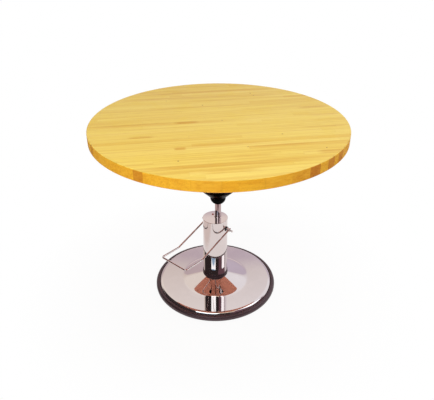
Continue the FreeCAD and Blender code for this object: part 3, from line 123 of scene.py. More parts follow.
camera = placed("Camera", bpy.data.cameras.new("Camera"))
bpy.context.scene.camera = camera
camera.data.lens = CAMERA_LENS
camera.data.shift_x = CAMERA_SHIFT
camera.data.shift_y = CAMERA_LIFT
round_the_column = Matrix.Translation((column_axis.x, column_axis.y, 0)) @ Matrix.Rotation(CAMERA_AZIMUTH, 4, "Z")
stand = Matrix.Translation((0, -CAMERA_DISTANCE, CAMERA_HEIGHT))
look = (
    Matrix.Rotation(-CAMERA_YAW, 4, "Z")
    @ Matrix.Rotation(math.pi / 2 - CAMERA_PITCH, 4, "X")
    @ Matrix.Rotation(CAMERA_ROLL, 4, "Z")
)
camera.matrix_world = round_the_column @ stand @ look
print("camera at", [round(c, 3) for c in camera.matrix_world.translation])


# %% [markdown]
# ## Wiring shader nodes with few words
#
# Materials are trees of nodes. Built by hand in the editor, a tree is dragged together; built in a script,
# the same work is three lines for each node. `add` makes it one: it creates the node, sets its options and
# gives back its outputs. `feed` fills inputs, by a wire where the value is another node's socket and by a
# number otherwise. A socket knows its tree, so `follow` puts a node where its inputs come from.

# %% Node helpers
def feed(sockets, values):
    """Give sockets their values, by name or number."""
    for key, value in values.items():
        if isinstance(value, bpy.types.NodeSocket):
            value.id_data.links.new(value, sockets[key])
        else:
            sockets[key].default_value = value


def add(tree, kind, inputs=None, **options):
    """The outputs of a new node."""
    made = tree.nodes.new(kind)
    for name, value in options.items():
        setattr(made, name, value)
    feed(made.inputs, inputs or {})
    return made.outputs


def follow(kind, inputs, **options):
    """The outputs of a new node in the tree that its inputs come from."""
    tree = next(value.id_data for value in inputs.values() if isinstance(value, bpy.types.NodeSocket))
    return add(tree, kind, inputs, **options)


def maths(operation, *values):
    """A Math node's result."""
    return follow("ShaderNodeMath", dict(enumerate(values)), operation=operation)[0]


def times(first, second):
    """A product: the usual way to let one mask limit another."""
    return maths("MULTIPLY", first, second)


def vector_maths(operation, *values):
    """A Vector Math node's results, "Vector" and "Value"."""
    return follow("ShaderNodeVectorMath", dict(enumerate(values)), operation=operation)


def towards(place, direction):
    """How far a place lies, or a ray points, in a direction."""
    return vector_maths("DOT_PRODUCT", place, direction)["Value"]


def blend(factor, first, second, how="MIX"):
    """A colour mix: the sockets 6 and 7 of the Mix node are its two colours."""
    return follow("ShaderNodeMix", {0: factor, 6: first, 7: second}, data_type="RGBA", blend_type=how)[2]


def ramp(value, *stops):
    """A colour ramp through (position, colour) stops."""
    node = value.id_data.nodes.new("ShaderNodeValToRGB")
    feed(node.inputs, {0: value})
    elements = node.color_ramp.elements
    while len(elements) < len(stops):
        elements.new(1.0)
    for element, (position, color) in zip(elements, stops):
        element.position = position
        element.color = color
    return node.outputs["Color"]


def spread(value, low, high, to_low=0.0, to_high=1.0):
    """Map a range of values onto another, and clamp it there."""
    return follow("ShaderNodeMapRange", {0: value, 1: low, 2: high, 3: to_low, 4: to_high})[0]


def noise(place, scale, detail, distortion=0.0):
    """Noise: one soft random number for each place."""
    inputs = {"Vector": place, "Scale": scale, "Detail": detail, "Distortion": distortion}
    return follow("ShaderNodeTexNoise", inputs)[0]


def mapped(place, **changes):
    """The place moved, turned or scaled: noise read there is pulled out along its smallest scale."""
    return follow("ShaderNodeMapping", {"Vector": place, **changes})[0]


def cells(line, randomness, **options):
    """A 1D Voronoi texture: it cuts a line into cells of uneven width."""
    inputs = {"W": line, "Scale": 1.0, "Randomness": randomness}
    return follow("ShaderNodeTexVoronoi", inputs, voronoi_dimensions="1D", **options)


def random_of(color):
    """One random number from a cell's random colour."""
    return follow("ShaderNodeSeparateColor", {0: color})[0]


print("node helpers ready")


# %% Group and material helpers
def new_group(name, inputs, outputs, kind="ShaderNodeTree"):
    """An empty node group. A socket is named with its type, or with the number a Float starts from."""
    tree = bpy.data.node_groups.new(name, kind)
    for in_out, sockets in (("INPUT", inputs), ("OUTPUT", outputs)):
        for label, given in sockets.items():
            holds = given if isinstance(given, str) else "Float"
            socket = tree.interface.new_socket(label, in_out=in_out, socket_type="NodeSocket" + holds)
            if given != holds:
                socket.default_value = given
    return tree, tree.nodes.new("NodeGroupInput").outputs, tree.nodes.new("NodeGroupOutput").inputs


def use(tree, group, **inputs):
    """The outputs of a group placed in a tree. Inputs are named with _ for the blank."""
    named = {key.replace("_", " "): value for key, value in inputs.items()}
    return add(tree, "ShaderNodeGroup", named, node_tree=group)


def new_material(name):
    """A material, its tree, the inputs of its Principled BSDF and the place on the object."""
    made = bpy.data.materials.new(name)
    made.use_nodes = True
    tree = made.node_tree
    return made, tree, tree.nodes["Principled BSDF"].inputs, add(tree, "ShaderNodeTexCoord")["Object"]


def color_of(red, green, blue):
    """A colour written as a screen shows it (0 to 255), turned into the light it stands for."""
    return tuple((c / 255) ** 2.2 for c in (red, green, blue)) + (1.0,)


print("group and material helpers ready")


# %% [markdown]
# ## Wear that several finishes share
#
# Nothing that people touch is even. The same three marks are on all the metal and rubber here: broad
# smudges where hands and cloths went, fine wiping scratches, and specks of dust. They are one node group
# that gives masks, and each material decides what a mask does to it: on chrome a smudge is a little
# blur, on rubber a speck of dust is a paler spot.

# %% Shared group: handling marks
marks, marks_in, marks_out = new_group(
    "Handling marks",
    {"Place": "Vector", "Size": 0.03},
    {"Smudge": "Float", "Scratch": "Float", "Dust": "Float"},
)
marks_scale = maths("DIVIDE", 1.0, marks_in["Size"])
smudges = noise(marks_in["Place"], marks_scale, 3.0, 0.6)
wiped = mapped(marks_in["Place"], Rotation=(0.3, 0.2, 0.9), Scale=(1, 1, 24))
specks = follow("ShaderNodeTexVoronoi", {"Vector": marks_in["Place"], "Scale": 420.0})
found = {
    "Smudge": spread(smudges, 0.45, 0.72),
    "Scratch": spread(noise(wiped, 60.0, 5.0), 0.62, 0.7),
    "Dust": spread(specks["Distance"], 0.12, 0.02),
}
feed(marks_out, found)
print("group:", marks.name)


# %% [markdown]
# ## The grain of a casting
#
# Iron poured in sand keeps the sand's skin: fine grain with slow waves under it. It is height only, so
# the group gives one number for a Bump node. Enamel fills the finest grain, so the painted castings use
# it more weakly than the raw ones.

# %% Shared group: sand-cast skin
GRAIN, WAVES, WAVES_SHARE = 900.0, 60.0, 0.8

sand, sand_in, sand_out = new_group("Sand-cast skin", {"Place": "Vector"}, {"Height": "Float"})
fine = noise(sand_in["Place"], GRAIN, 2.0)
slow = noise(sand_in["Place"], WAVES, 1.0)
feed(sand_out, {"Height": maths("MULTIPLY_ADD", slow, WAVES_SHARE, fine)})
print("group:", sand.name)


# %% [markdown]
# ## Glued staves
#
# A butcher-block top is glued from long narrow staves. Each stave has its own width, is pieced from a few
# lengths end to end, and each length has its own colour and its own run of grain. A one-dimensional
# Voronoi texture does exactly this: it cuts a line into cells of uneven width and gives each cell one
# random colour. A first one across the top makes the staves. A second one along the top makes the
# lengths, and each stave slides its line by its own random amount, so that no joints line up.

# %% Group: staves
STAVE_DIRECTION = math.radians(50.5)
STAVE_WIDTH = 0.026
STAVE_RANDOM = 0.45
PIECE_LENGTH = 0.6
LENGTH_RANDOM = 0.9
SLIDE = 631.0
ROW_LINE = 0.03
LENGTH_LINE = 0.0016

staves, staves_in, staves_out = new_group(
    "Glued staves",
    {"Place": "Vector"},
    {"Along": "Vector", "Stave": "Float", "Piece": "Color", "Joint": "Float"},
)
turned_place = mapped(staves_in["Place"], Rotation=(0, 0, -STAVE_DIRECTION))
parts = follow("ShaderNodeSeparateXYZ", {0: turned_place})
across = maths("DIVIDE", parts["Y"], STAVE_WIDTH)
rows = cells(across, STAVE_RANDOM)
row_edge = cells(across, STAVE_RANDOM, feature="DISTANCE_TO_EDGE")["Distance"]
own_length = maths("DIVIDE", parts["X"], PIECE_LENGTH)
slide = maths("MULTIPLY_ADD", random_of(rows["Color"]), SLIDE, own_length)
lengths = cells(slide, LENGTH_RANDOM)
length_edge = cells(slide, LENGTH_RANDOM, feature="DISTANCE_TO_EDGE")["Distance"]
row_line = spread(row_edge, 0.0, ROW_LINE, 1.0, 0.0)
length_line = spread(length_edge, 0.0, LENGTH_LINE, 1.0, 0.0)
found = {
    "Along": turned_place,
    "Stave": times(rows["W"], STAVE_WIDTH),
    "Piece": lengths["Color"],
    "Joint": maths("MAXIMUM", row_line, length_line),
}
feed(staves_out, found)
print("group:", staves.name)


# %% [markdown]
# ## Dark staves, placed one by one
#
# Chance gives a believable board but not this board. A few long brown staves and some short dark blocks
# are what the eye remembers of it, so they are placed one by one. The group asks the same Voronoi texture
# which stave lies on the wanted line, and then whether the point is in that stave and within the wanted
# length. So the long edges of a mark are real glue lines, and its ends fade, as colour does along wood.

# %% Group: one picked-out length of a stave
FADE_FROM, FADE_TO = 0.3, 0.55
SAME_STAVE = 0.05

pick, pick_in, pick_out = new_group(
    "Picked stave",
    {"Along": "Vector", "Stave": 0.0, "Middle Along": 0.0, "Middle Across": 0.0, "Length": 0.3},
    {"Mask": "Float"},
)
wanted_line = maths("DIVIDE", pick_in["Middle Across"], STAVE_WIDTH)
wanted_stave = times(cells(wanted_line, STAVE_RANDOM)["W"], STAVE_WIDTH)
off_stave = maths("ABSOLUTE", maths("SUBTRACT", pick_in["Stave"], wanted_stave))
in_stave = maths("LESS_THAN", off_stave, STAVE_WIDTH * SAME_STAVE)
along_x = follow("ShaderNodeSeparateXYZ", {0: pick_in["Along"]})["X"]
off_middle = maths("ABSOLUTE", maths("SUBTRACT", along_x, pick_in["Middle Along"]))
fade_start, fade_end = (times(pick_in["Length"], share) for share in (FADE_FROM, FADE_TO))
in_length = spread(off_middle, fade_start, fade_end, 1.0, 0.0)
feed(pick_out, {"Mask": times(in_stave, in_length)})
print("group:", pick.name)


# %% [markdown]
# ## Maple: grain, streaks and flecks
#
# Maple is pale, warm and nearly even. The lengths run from cream to golden. Over that lie three layers of
# noise, each pulled out along the stave because its scale along is small and across is large: fine grain,
# broad slow streaks, and short brown flecks. Grain and flecks are read from another spot for each length,
# because two lengths never share a tree ring. A few dark pits, far apart, finish the surface.

# %% Wood colours and the staves placed by hand
CREAM = color_of(239, 209, 102)
STRAW = color_of(237, 206, 94)
GOLD = color_of(234, 200, 84)
TAN = color_of(228, 187, 72)
BROWN = color_of(160, 104, 44)
DARK_TINT = (0.85, 0.69, 0.36, 1.0)

# along, across, length, depth: metres from the middle, along and across the staves, and how dark
DARK_STAVES = [
    (0.003, 0.386, 0.717, 0.7),
    (-0.009, 0.309, 0.818, 0.5),
    (0.443, 0.120, 0.141, 0.6),
    (0.454, -0.007, 0.140, 0.35),
    (0.411, -0.116, 0.191, 0.35),
    (-0.215, -0.004, 0.608, 0.5),
    (-0.131, 0.013, 0.100, 1.0),
    (-0.322, -0.118, 0.100, 0.7),
    (-0.181, -0.253, 0.045, 1.0),
    (0.190, -0.280, 0.262, 0.4),
    (0.068, -0.344, 0.162, 0.35),
    (0.004, -0.400, 0.700, 1.0),
    (0.365, -0.374, 0.120, 1.0),
    (-0.031, -0.461, 0.200, 0.65),
]
print(f"{len(DARK_STAVES)} staves placed by hand")

# %% The face of the board
GRAIN_SHARE, STREAK_SHARE, FLECK_SHARE, JOINT_SHARE = 0.6, 0.55, 0.2, 0.12
PIT_SCALE, PIT_RADIUS, PIT_SHARE = 15.0, 0.05, 0.45
OWN_RING = 7.0
GRAIN_PULL, FLECK_PULL, STREAK_PULL = (2.5, 150, 150), (28, 420, 420), (1.6, 62, 62)

maple, tree, shader, place = new_material("Lacquered maple staves")
board = use(tree, staves, Place=place)


def picked_length(along, off, length):
    """Mask of one picked-out length of the board."""
    return use(
        tree, pick, Along=board["Along"], Stave=board["Stave"], Middle_Along=along, Middle_Across=off, Length=length
    )["Mask"]


tones = [(0.0, CREAM), (0.35, STRAW), (0.62, GOLD), (0.8, STRAW), (0.93, GOLD), (1.0, TAN)]
tone = ramp(random_of(board["Piece"]), *tones)
ring = vector_maths("MULTIPLY", board["Piece"], [OWN_RING] * 3)[0]
grain = noise(mapped(board["Along"], Location=ring, Scale=GRAIN_PULL), 1.0, 5.0, 0.3)
flecks = noise(mapped(board["Along"], Location=ring, Scale=FLECK_PULL), 1.0, 2.0)
streaks = noise(mapped(board["Along"], Scale=STREAK_PULL), 1.0, 3.0, 0.2)
wood = blend(spread(grain, 0.40, 0.66, 0.0, GRAIN_SHARE), tone, DARK_TINT, "MULTIPLY")
wood = blend(spread(streaks, 0.50, 0.72, 0.0, STREAK_SHARE), wood, DARK_TINT, "MULTIPLY")
wood = blend(spread(flecks, 0.58, 0.75, 0.0, FLECK_SHARE), wood, BROWN)
for along, off, length, depth in DARK_STAVES:
    streaky = spread(streaks, 0.40, 0.58, 0.6 * depth, 1.15 * depth)
    dark = times(picked_length(along, off, length), streaky)
    wood = blend(dark, wood, DARK_TINT, "MULTIPLY")
wood = blend(times(board["Joint"], JOINT_SHARE), wood, BROWN)
pits = follow("ShaderNodeTexVoronoi", {"Vector": board["Along"], "Scale": PIT_SCALE})
pit = maths("LESS_THAN", pits["Distance"], PIT_RADIUS)
rare = maths("LESS_THAN", random_of(pits["Color"]), PIT_SHARE)
wood = blend(times(pit, rare), wood, BROWN)
print(f"{maple.name}: {len(tree.nodes)} nodes so far")


# %% [markdown]
# ## Maple: rim, underside and lacquer
#
# On the rim the cut crosses the fibres. End grain drinks more lacquer: it turns orange, shows fine pores,
# and some of its blocks are much darker, so these are placed one by one too. The rim is found from the surface
# normal, which is level there and upright on the top. The underside, found the same way, has no lacquer
# and a red-brown colour that is partly a stain and partly painted light: it is made pale enough to make up
# for the little light that reaches it. What changes over the surface comes to the shader through nodes;
# what is the same all over is set on its socket.

# %% Rim and underside
RIM_TINT = (1.04, 0.74, 0.22, 1.0)
END_TINT = (0.70, 0.50, 0.42, 1.0)
# the underside's colour: a red-brown stain made pale enough to stand in for light that hardly reaches it, so partly
# painted light
DOWN_FACE_STAIN_AND_LIGHT = color_of(238, 152, 139)
STAIN_AND_LIGHT_SHARE = 0.85

# blocks of darker end grain, given as the dark staves are, that show on the rim alone
RIM_BLOCKS = [
    (-0.500, -0.165, 0.16, 0.5),
    (0.030, -0.522, 0.60, 0.2),
    (-0.355, -0.403, 0.16, 0.8),
    (0.225, -0.485, 0.16, 0.35),
    (0.280, -0.462, 0.16, 1.0),
    (0.355, -0.400, 0.16, 0.75),
    (0.385, -0.372, 0.16, 0.5),
]

upright = follow("ShaderNodeSeparateXYZ", {0: add(tree, "ShaderNodeNewGeometry")["Normal"]})["Z"]
rim = spread(maths("ABSOLUTE", upright), 0.3, 0.8, 1.0, 0.0)
wood = blend(rim, wood, RIM_TINT, "MULTIPLY")
end_grain = spread(noise(place, 260.0, 3.0), 0.48, 0.7, 0.0, 0.3)
for along, off, length, depth in RIM_BLOCKS:
    block = times(picked_length(along, off, length), depth)
    end_grain = maths("MAXIMUM", end_grain, block)
wood = blend(times(rim, end_grain), wood, END_TINT, "MULTIPLY")
# down-facing faces take that colour: a stain and painted light together
wood = blend(spread(upright, -0.3, -0.8, 0.0, STAIN_AND_LIGHT_SHARE), wood, DOWN_FACE_STAIN_AND_LIGHT)
print(f"{len(RIM_BLOCKS)} rim blocks placed by hand")

# %% Lacquer
LACQUER = 0.08
HANDLED = 0.09
POLISHED, RUBBED = 0.3, 0.42
BARE_ROUGHER = 0.35

worn = use(tree, marks, Place=place, Size=HANDLED)
polished = spread(worn["Smudge"], 0.0, 1.0, POLISHED, RUBBED)
faces_up = spread(upright, 0.3, 0.8)
duller = spread(faces_up, 0.0, 1.0, BARE_ROUGHER, 0.0)
look = {
    "Base Color": wood,
    "Roughness": maths("ADD", polished, duller),
    "Coat Weight": times(faces_up, LACQUER),
    "Coat Roughness": 0.12,
    "Specular IOR Level": 0.26,
    "Normal": follow("ShaderNodeBump", {"Height": board["Joint"], "Strength": 0.25, "Distance": -0.0002})[0],
}
feed(shader, look)
print(f"{maple.name}: {len(tree.nodes)} nodes")


# %% [markdown]
# ## Chrome, steel, iron, rubber
#
# Each of the other finishes is a short recipe on the same base: a colour, how metallic and how rough it
# is, and what the handling marks do to it. `gloss` is how strongly a surface that isn't metal mirrors,
# and `sheen` the colour it mirrors in: this old rubber gives back plum. One function builds them all, and
# a table of finishes keeps the differences side by side, where they can be compared. Each finish goes to
# the pieces of its slot. The ram alone has its own, a chrome darker and redder than the rest, and a little rougher.

# %% Metal and rubber materials
WHITE = (1.0, 1.0, 1.0, 1.0)
PLUM = (1.0, 0.74, 0.80, 1.0)
DUST = (0.5, 0.48, 0.45, 1.0)
SCRATCH_SHARE, SMUDGE_SHARE = 0.5, 0.35
SKIN_DEPTH = 0.0006


def finish(name, color, metallic, roughness, smudged, skin=0.0, dusty=0.0, size=0.05, gloss=0.5, sheen=WHITE):
    """A plain finish with handling marks: roughness goes up to smudged where hands and cloths went."""
    made, tree, shader, place = new_material(name)
    feed(shader, {"Metallic": metallic, "Specular IOR Level": gloss, "Specular Tint": sheen})
    worn = use(tree, marks, Place=place, Size=size)
    mark = maths("MAXIMUM", worn["Smudge"], times(worn["Scratch"], SCRATCH_SHARE))
    paler = tuple(min(1.0, c * 1.08 + 0.01) for c in color[:3]) + (1.0,)
    tint = blend(times(worn["Smudge"], SMUDGE_SHARE), color, paler)
    if dusty:
        tint = blend(times(worn["Dust"], dusty), tint, DUST)
    feed(shader, {"Base Color": tint, "Roughness": spread(mark, 0.0, 1.0, roughness, smudged)})
    if skin:
        height = use(tree, sand, Place=place)["Height"]
        bump = follow("ShaderNodeBump", {"Height": height, "Strength": skin, "Distance": SKIN_DEPTH})[0]
        feed(shader, {"Normal": bump})
    return made


FINISHES = {
    "chrome": finish("Polished chrome", (0.70, 0.63, 0.62, 1), 1.0, 0.03, 0.06),
    # hub and arms: black enamel, its colour made blacker than enamel is and its gloss cut, as painted shade for their
    # place under the top
    "black_iron": finish("Black enamel with painted shade", (0.002, 0.002, 0.002, 1), 0.0, 0.3, 0.4, skin=0.15, gloss=0.02),
    "black_rubber": finish(
        "Black moulded rubber", (0.018, 0.006, 0.008, 1), 0.0, 0.46, 0.54, dusty=0.1, size=0.04, gloss=1.0, sheen=PLUM
    ),
    "seal_rubber": finish("Black seal rubber", (0.02, 0.02, 0.02, 1), 0.0, 0.6, 0.7),
    "raw_iron": finish("Raw cast iron", (0.17, 0.16, 0.155, 1), 0.6, 0.55, 0.7, skin=0.5),
    "steel": finish("Ground steel", (0.50, 0.50, 0.51, 1), 1.0, 0.25, 0.4),
    "zinc_steel": finish("Zinc-plated steel", (0.62, 0.61, 0.56, 1), 1.0, 0.28, 0.42),
    "brass": finish("Machined brass", (0.72, 0.50, 0.20, 1), 1.0, 0.22, 0.4),
    "oil_screw": finish("Brown-red lacquer", color_of(205, 100, 85), 0.0, 0.5, 0.6, gloss=0.3),
    "wood_top": maple,
}
# the ram's own chrome: darker, redder and a little rougher than the rest
DARKER_RAM_CHROME = finish("Darker ram chrome", (0.46, 0.345, 0.35, 1), 1.0, 0.06, 0.12)
for node, model in frame["nodes"].items():
    model.data.materials.clear()
    model.data.materials.append(FINISHES[SLOT_OF[node]])
print("finishes:", ", ".join(FINISHES))


# %% [markdown]
# ## Standing in for a CAD piece
#
# Polished metal shows every facet, and a CAD mesh is loose flat triangles. So the pieces that are seen are
# made again, finer, and each stands in for its CAD node: it rides on the same moving body, takes the same
# finish, and the CAD node is hidden but still there for the physics. `stand_in` says all three in one
# place, so that no piece can be forgotten.

# %% Stand-ins
def new_piece(name, mesh, material):
    """A mesh as a new object at the origin, with one material."""
    piece = placed(name.replace(", ", " ").replace(" ", "_"), mesh)
    mesh.materials.clear()
    mesh.materials.append(material)
    return piece


def smooth(mesh, sharp_from=32.0):
    """Smooth shading, but for edges that turn by more than this many degrees."""
    mesh.polygons.foreach_set("use_smooth", [True] * len(mesh.polygons))
    mesh.set_sharp_from_angle(angle=math.radians(sharp_from))


def stand_in(name, mesh, *nodes, material=None):
    """A mesh as a piece that takes the place of these CAD nodes, in their finish or another."""
    piece = new_piece(name, mesh, material or FINISHES[SLOT_OF[nodes[0]]])
    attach(piece, BODY_OF[nodes[0]])
    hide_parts(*nodes)
    print(f"{piece.name}: {len(piece.data.polygons)} faces, stands in for {', '.join(nodes)}")
    return piece


# %% [markdown]
# ## Turned pieces
#
# Most of this pedestal was made on a lathe or spun over a form: ram, column, cap, cover, rings. Each is
# one outline turned about an axis. An outline here is a closed loop of (radius, height) corners, and a
# third number rounds the corner, because real edges are never sharp and it is the rounding that catches
# light. Points that fall on the axis are merged into one, so that no pole is left open.
#
# Beside each rounded corner stands a holding ring, a hair further out on the flat. Smooth shading blends
# the normals between two rings, so without it the last slice of the round would bend the light over the
# whole flat, and polished metal would show a reflection that isn't there.

# %% Turning on a lathe
ROUND_STEPS = 8
HOLD_SHARE = 0.08
HOLD_LEAST = 0.05 * MM
MERGE, SLIVER = 1e-6, 1e-7
FINE_EDGE, SOFT_EDGE, ROUND_EDGE = 0.4 * MM, 0.8 * MM, 1.0 * MM


def rounded(corners):
    """The outline as points, with an arc and two holding points for each corner that gives a radius."""
    points = []
    for i, (across, up, *radius) in enumerate(corners):
        here = Vector((across, up))
        if not radius:
            points.append(here)
            continue
        back = (Vector(corners[i - 1][:2]) - here).normalized()
        ahead = (Vector(corners[(i + 1) % len(corners)][:2]) - here).normalized()
        half = back.angle(ahead) / 2
        centre = here + (back + ahead).normalized() * (radius[0] / math.sin(half))
        first = here + back * (radius[0] / math.tan(half)) - centre
        last = here + ahead * (radius[0] / math.tan(half)) - centre
        turn = math.atan2(first.x * last.y - first.y * last.x, first.dot(last))
        hold = HOLD_SHARE * radius[0] + HOLD_LEAST
        points.append(centre + first + back * hold)
        for step in range(ROUND_STEPS + 1):
            points.append(centre + Matrix.Rotation(turn * step / ROUND_STEPS, 2) @ first)
        points.append(centre + last + ahead * hold)
    return points


def turn_mesh(name, corners, axis, around):
    """A closed outline turned about Z in so many steps around, then put in place by the matrix axis."""
    points = rounded(corners)
    count = len(points)
    angles = [2 * math.pi * k / around for k in range(around)]
    places = [(p.x * math.cos(angle), p.x * math.sin(angle), p.y) for angle in angles for p in points]
    rings = [(k * count, (k + 1) % around * count) for k in range(around)]
    sides = [(i, (i + 1) % count) for i in range(count)]
    faces = [(here + i, here + j, there + j, there + i) for here, there in rings for i, j in sides]
    mesh = bpy.data.meshes.new(name)
    mesh.from_pydata(places, [], faces)
    clean = bmesh.new()
    clean.from_mesh(mesh)
    bmesh.ops.remove_doubles(clean, verts=clean.verts, dist=MERGE)
    bmesh.ops.dissolve_degenerate(clean, edges=clean.edges, dist=SLIVER)
    bmesh.ops.recalc_face_normals(clean, faces=clean.faces)
    clean.to_mesh(mesh)
    clean.free()
    mesh.transform(axis)
    smooth(mesh)
    return mesh


def turned(name, node, *corners, axis=None, around=192, material=None):
    """A turned piece that stands in for a node; its axis is upright through the node's middle."""
    centre = middle(node)
    upright = Matrix.Translation((centre.x, centre.y, 0))
    mesh = turn_mesh(name, corners, upright if axis is None else axis, around)
    return stand_in(name, mesh, node, material=material)


print("the lathe is ready")


# %% [markdown]
# ## The top
#
# One disc, 1.07 m across. Its edges are eased with a small round. The pattern of staves is in the
# material and runs through the whole solid, so the rim shows the same staves that the surface shows, cut
# across where the rim crosses them and lengthwise where it runs along them.

# %% Table top
TOP_EDGE = 3 * MM

top_radius, low, high = round_size("table_top")
turned(
    "Butcher-block top",
    "table_top",
    (0, low),
    (top_radius, low, TOP_EDGE),
    (top_radius, high, TOP_EDGE),
    (0, high),
    around=256,
)


# %% [markdown]
# ## Ram, gland and cap
#
# The ram is a hard-chromed rod. It comes up through a gland nut on the cap. A soft lip under the nut's rim
# wipes the oil off. The ram's chrome is made darker and redder than the column's. The ram goes deep into
# the column, because it has to be there when the table rises: only what is over the cap shows.

# %% Ram and gland
TAPER_START = 10 * MM
TIP_RADIUS = 11 * MM
THREAD_RADIUS = 8 * MM
BORE_GAP = 0.3 * MM
SEAT_RADIUS = 17.5 * MM

ram_radius, low, high = round_size("ram")
taper_low = span("spider_hub")[0].z + TAPER_START
taper_high = span("ram_washer")[0].z
turned(
    "Chromed ram",
    "ram",
    (0, low),
    (ram_radius, low, ROUND_EDGE),
    (ram_radius, taper_low),
    (TIP_RADIUS, taper_high),
    (THREAD_RADIUS, taper_high),
    (THREAD_RADIUS, high, ROUND_EDGE),
    (0, high),
    around=96,
    material=DARKER_RAM_CHROME,
)

rim_radius, low, high = round_size("gland_nut")
cap_top = span("head_cap")[1].z
turned(
    "Gland nut",
    "gland_nut",
    (ram_radius + BORE_GAP, low),
    (SEAT_RADIUS, low),
    (SEAT_RADIUS, cap_top),
    (rim_radius, cap_top),
    (rim_radius, high, SOFT_EDGE),
    (ram_radius + BORE_GAP, high, FINE_EDGE),
    around=96,
)


# %% [markdown]
# ## Column
#
# A chromed steel sleeve hides the pump. Its cap is a polished disc, a little smaller than the sleeve, with
# an eased edge. Where the sleeve meets the base cover a black rubber collar closes the gap, and its step
# is what gives the column a foot.

# %% Sleeve, cap and collar
CAP_EDGE = 1.2 * MM
SLEEVE_WALL = 1.6 * MM
RUBBER_GAP = 0.1 * MM
LIP_SHARE = 0.7

column_radius, low, high = round_size("column_sleeve")
turned(
    "Column sleeve",
    "column_sleeve",
    (column_radius - SLEEVE_WALL, low),
    (column_radius, low),
    (column_radius, high, FINE_EDGE),
    (column_radius - SLEEVE_WALL, high),
)

cap_radius, low, high = round_size("head_cap")
turned("Column cap", "head_cap", (0, low), (cap_radius, low), (cap_radius, high, CAP_EDGE), (0, high))

collar_radius, low, high = round_size("foot_collar")
collar_height = high - low
collar_lip = column_radius + LIP_SHARE * (collar_radius - column_radius)
turned(
    "Foot collar",
    "foot_collar",
    (column_radius + RUBBER_GAP, low),
    (collar_radius, low, SOFT_EDGE),
    (collar_radius, low + collar_height / 3, SOFT_EDGE),
    (collar_lip, low + collar_height / 2, SOFT_EDGE),
    (collar_lip, high, ROUND_EDGE),
    (column_radius + RUBBER_GAP, high),
)


# %% [markdown]
# ## Base cover and bumper
#
# The cover is one sheet of steel, spun over a form and chromed: a flat ring, a low cone that climbs to the
# column, and an outer edge rolled down into the rubber. The cone mirrors the red-brown underside of the
# top, and the flat ring the wall behind, which is why the two look like different metals. The rubber
# bumper is a fat ring, round above and flatter below, where it stands on the floor.

# %% Cover and bumper ring
COVER_WALL = 1.5 * MM
CONE_RADIUS = 147 * MM
CONE_HOLE = 57.6 * MM
COVER_HEIGHT = 32 * MM
ROLLED_EDGE = 14 * MM
CONE_SWEEP = 90 * MM
BUMPER_CROWN = 12 * MM
BUMPER_FOOT = 9 * MM
BUMPER_INNER = 4 * MM
LIP_HEIGHT = 3 * MM
LIP_WIDTH = 12 * MM

cover_radius, low, high = round_size("base_cover")
inside = cover_radius - COVER_WALL
under = COVER_HEIGHT - COVER_WALL
turned(
    "Base cover",
    "base_cover",
    (CONE_HOLE, high - COVER_WALL),
    (CONE_HOLE, high),
    (CONE_RADIUS, COVER_HEIGHT, CONE_SWEEP),
    (cover_radius, COVER_HEIGHT, ROLLED_EDGE),
    (cover_radius, low),
    (inside, low),
    (inside, under, ROLLED_EDGE - COVER_WALL),
    (CONE_RADIUS, under, CONE_SWEEP + COVER_WALL),
    around=256,
)

bumper_radius, low, high = round_size("bumper_ring")
casting_radius = round_size("base_casting")[0]
step_height = span("base_cover")[0].z - RUBBER_GAP
turned(
    "Bumper ring",
    "bumper_ring",
    (casting_radius - LIP_WIDTH, low),
    (bumper_radius, low, BUMPER_FOOT),
    (bumper_radius, high, BUMPER_CROWN),
    (cover_radius + RUBBER_GAP, high, BUMPER_INNER),
    (cover_radius + RUBBER_GAP, step_height),
    (casting_radius + RUBBER_GAP, step_height),
    (casting_radius + RUBBER_GAP, LIP_HEIGHT),
    (casting_radius - LIP_WIDTH, LIP_HEIGHT),
    around=256,
)


# %% [markdown]
# ## The pedal: a rod along a path
#
# The pedal is one steel rod, bent in four places. Geometry Nodes say that in the same words: take the
# corners as a curve, round each corner by its own bending radius, and sweep a circle along. The sizes are
# named inputs of the tree, so another rod is another set of numbers. The tree ends by realizing and
# painting its mesh, and the result is kept as a plain mesh.

# %% Geometry tree: bent rod
def end_tree(geometry, finish, result):
    """The end of every geometry tree: instances made real, and the finish set."""
    real = follow("GeometryNodeRealizeInstances", {0: geometry})[0]
    feed(result, {0: follow("GeometryNodeSetMaterial", {"Geometry": real, "Material": finish})[0]})


bent_rod, rod_in, rod_out = new_group(
    "Bent rod",
    {"Corners": "Geometry", "Rod Radius": 0.004, "Finish": "Material"},
    {"Rod": "Geometry"},
    kind="GeometryNodeTree",
)
corner_curve = follow("GeometryNodeMeshToCurve", {"Mesh": rod_in["Corners"]})[0]
bend = add(bent_rod, "GeometryNodeInputNamedAttribute", {"Name": "bend"}, data_type="FLOAT")[0]
fillet = {"Curve": corner_curve, "Count": 24, "Radius": bend}
filleted = follow("GeometryNodeFilletCurve", fillet, mode="POLY")[0]
circle = {"Resolution": 40, "Radius": rod_in["Rod Radius"]}
section = follow("GeometryNodeCurvePrimitiveCircle", circle)[0]
sweep = {"Curve": filleted, "Profile Curve": section, "Fill Caps": True}
swept = follow("GeometryNodeCurveToMesh", sweep)[0]
end_tree(swept, rod_in["Finish"], rod_out)


def grow(name, source, tree, **values):
    """Run a geometry tree on a source mesh once, and keep the result as a plain mesh."""
    seed = placed(name, source)
    modifier = seed.modifiers.new("Grow", "NODES")
    modifier.node_group = tree
    for item in tree.interface.items_tree:
        key = item.name.replace(" ", "_")
        if item.item_type == "SOCKET" and item.in_out == "INPUT" and key in values:
            modifier[item.identifier] = values[key]
    grown = bpy.data.meshes.new_from_object(seed.evaluated_get(bpy.context.evaluated_depsgraph_get()))
    bpy.data.objects.remove(seed)
    return grown


print("tree:", bent_rod.name)
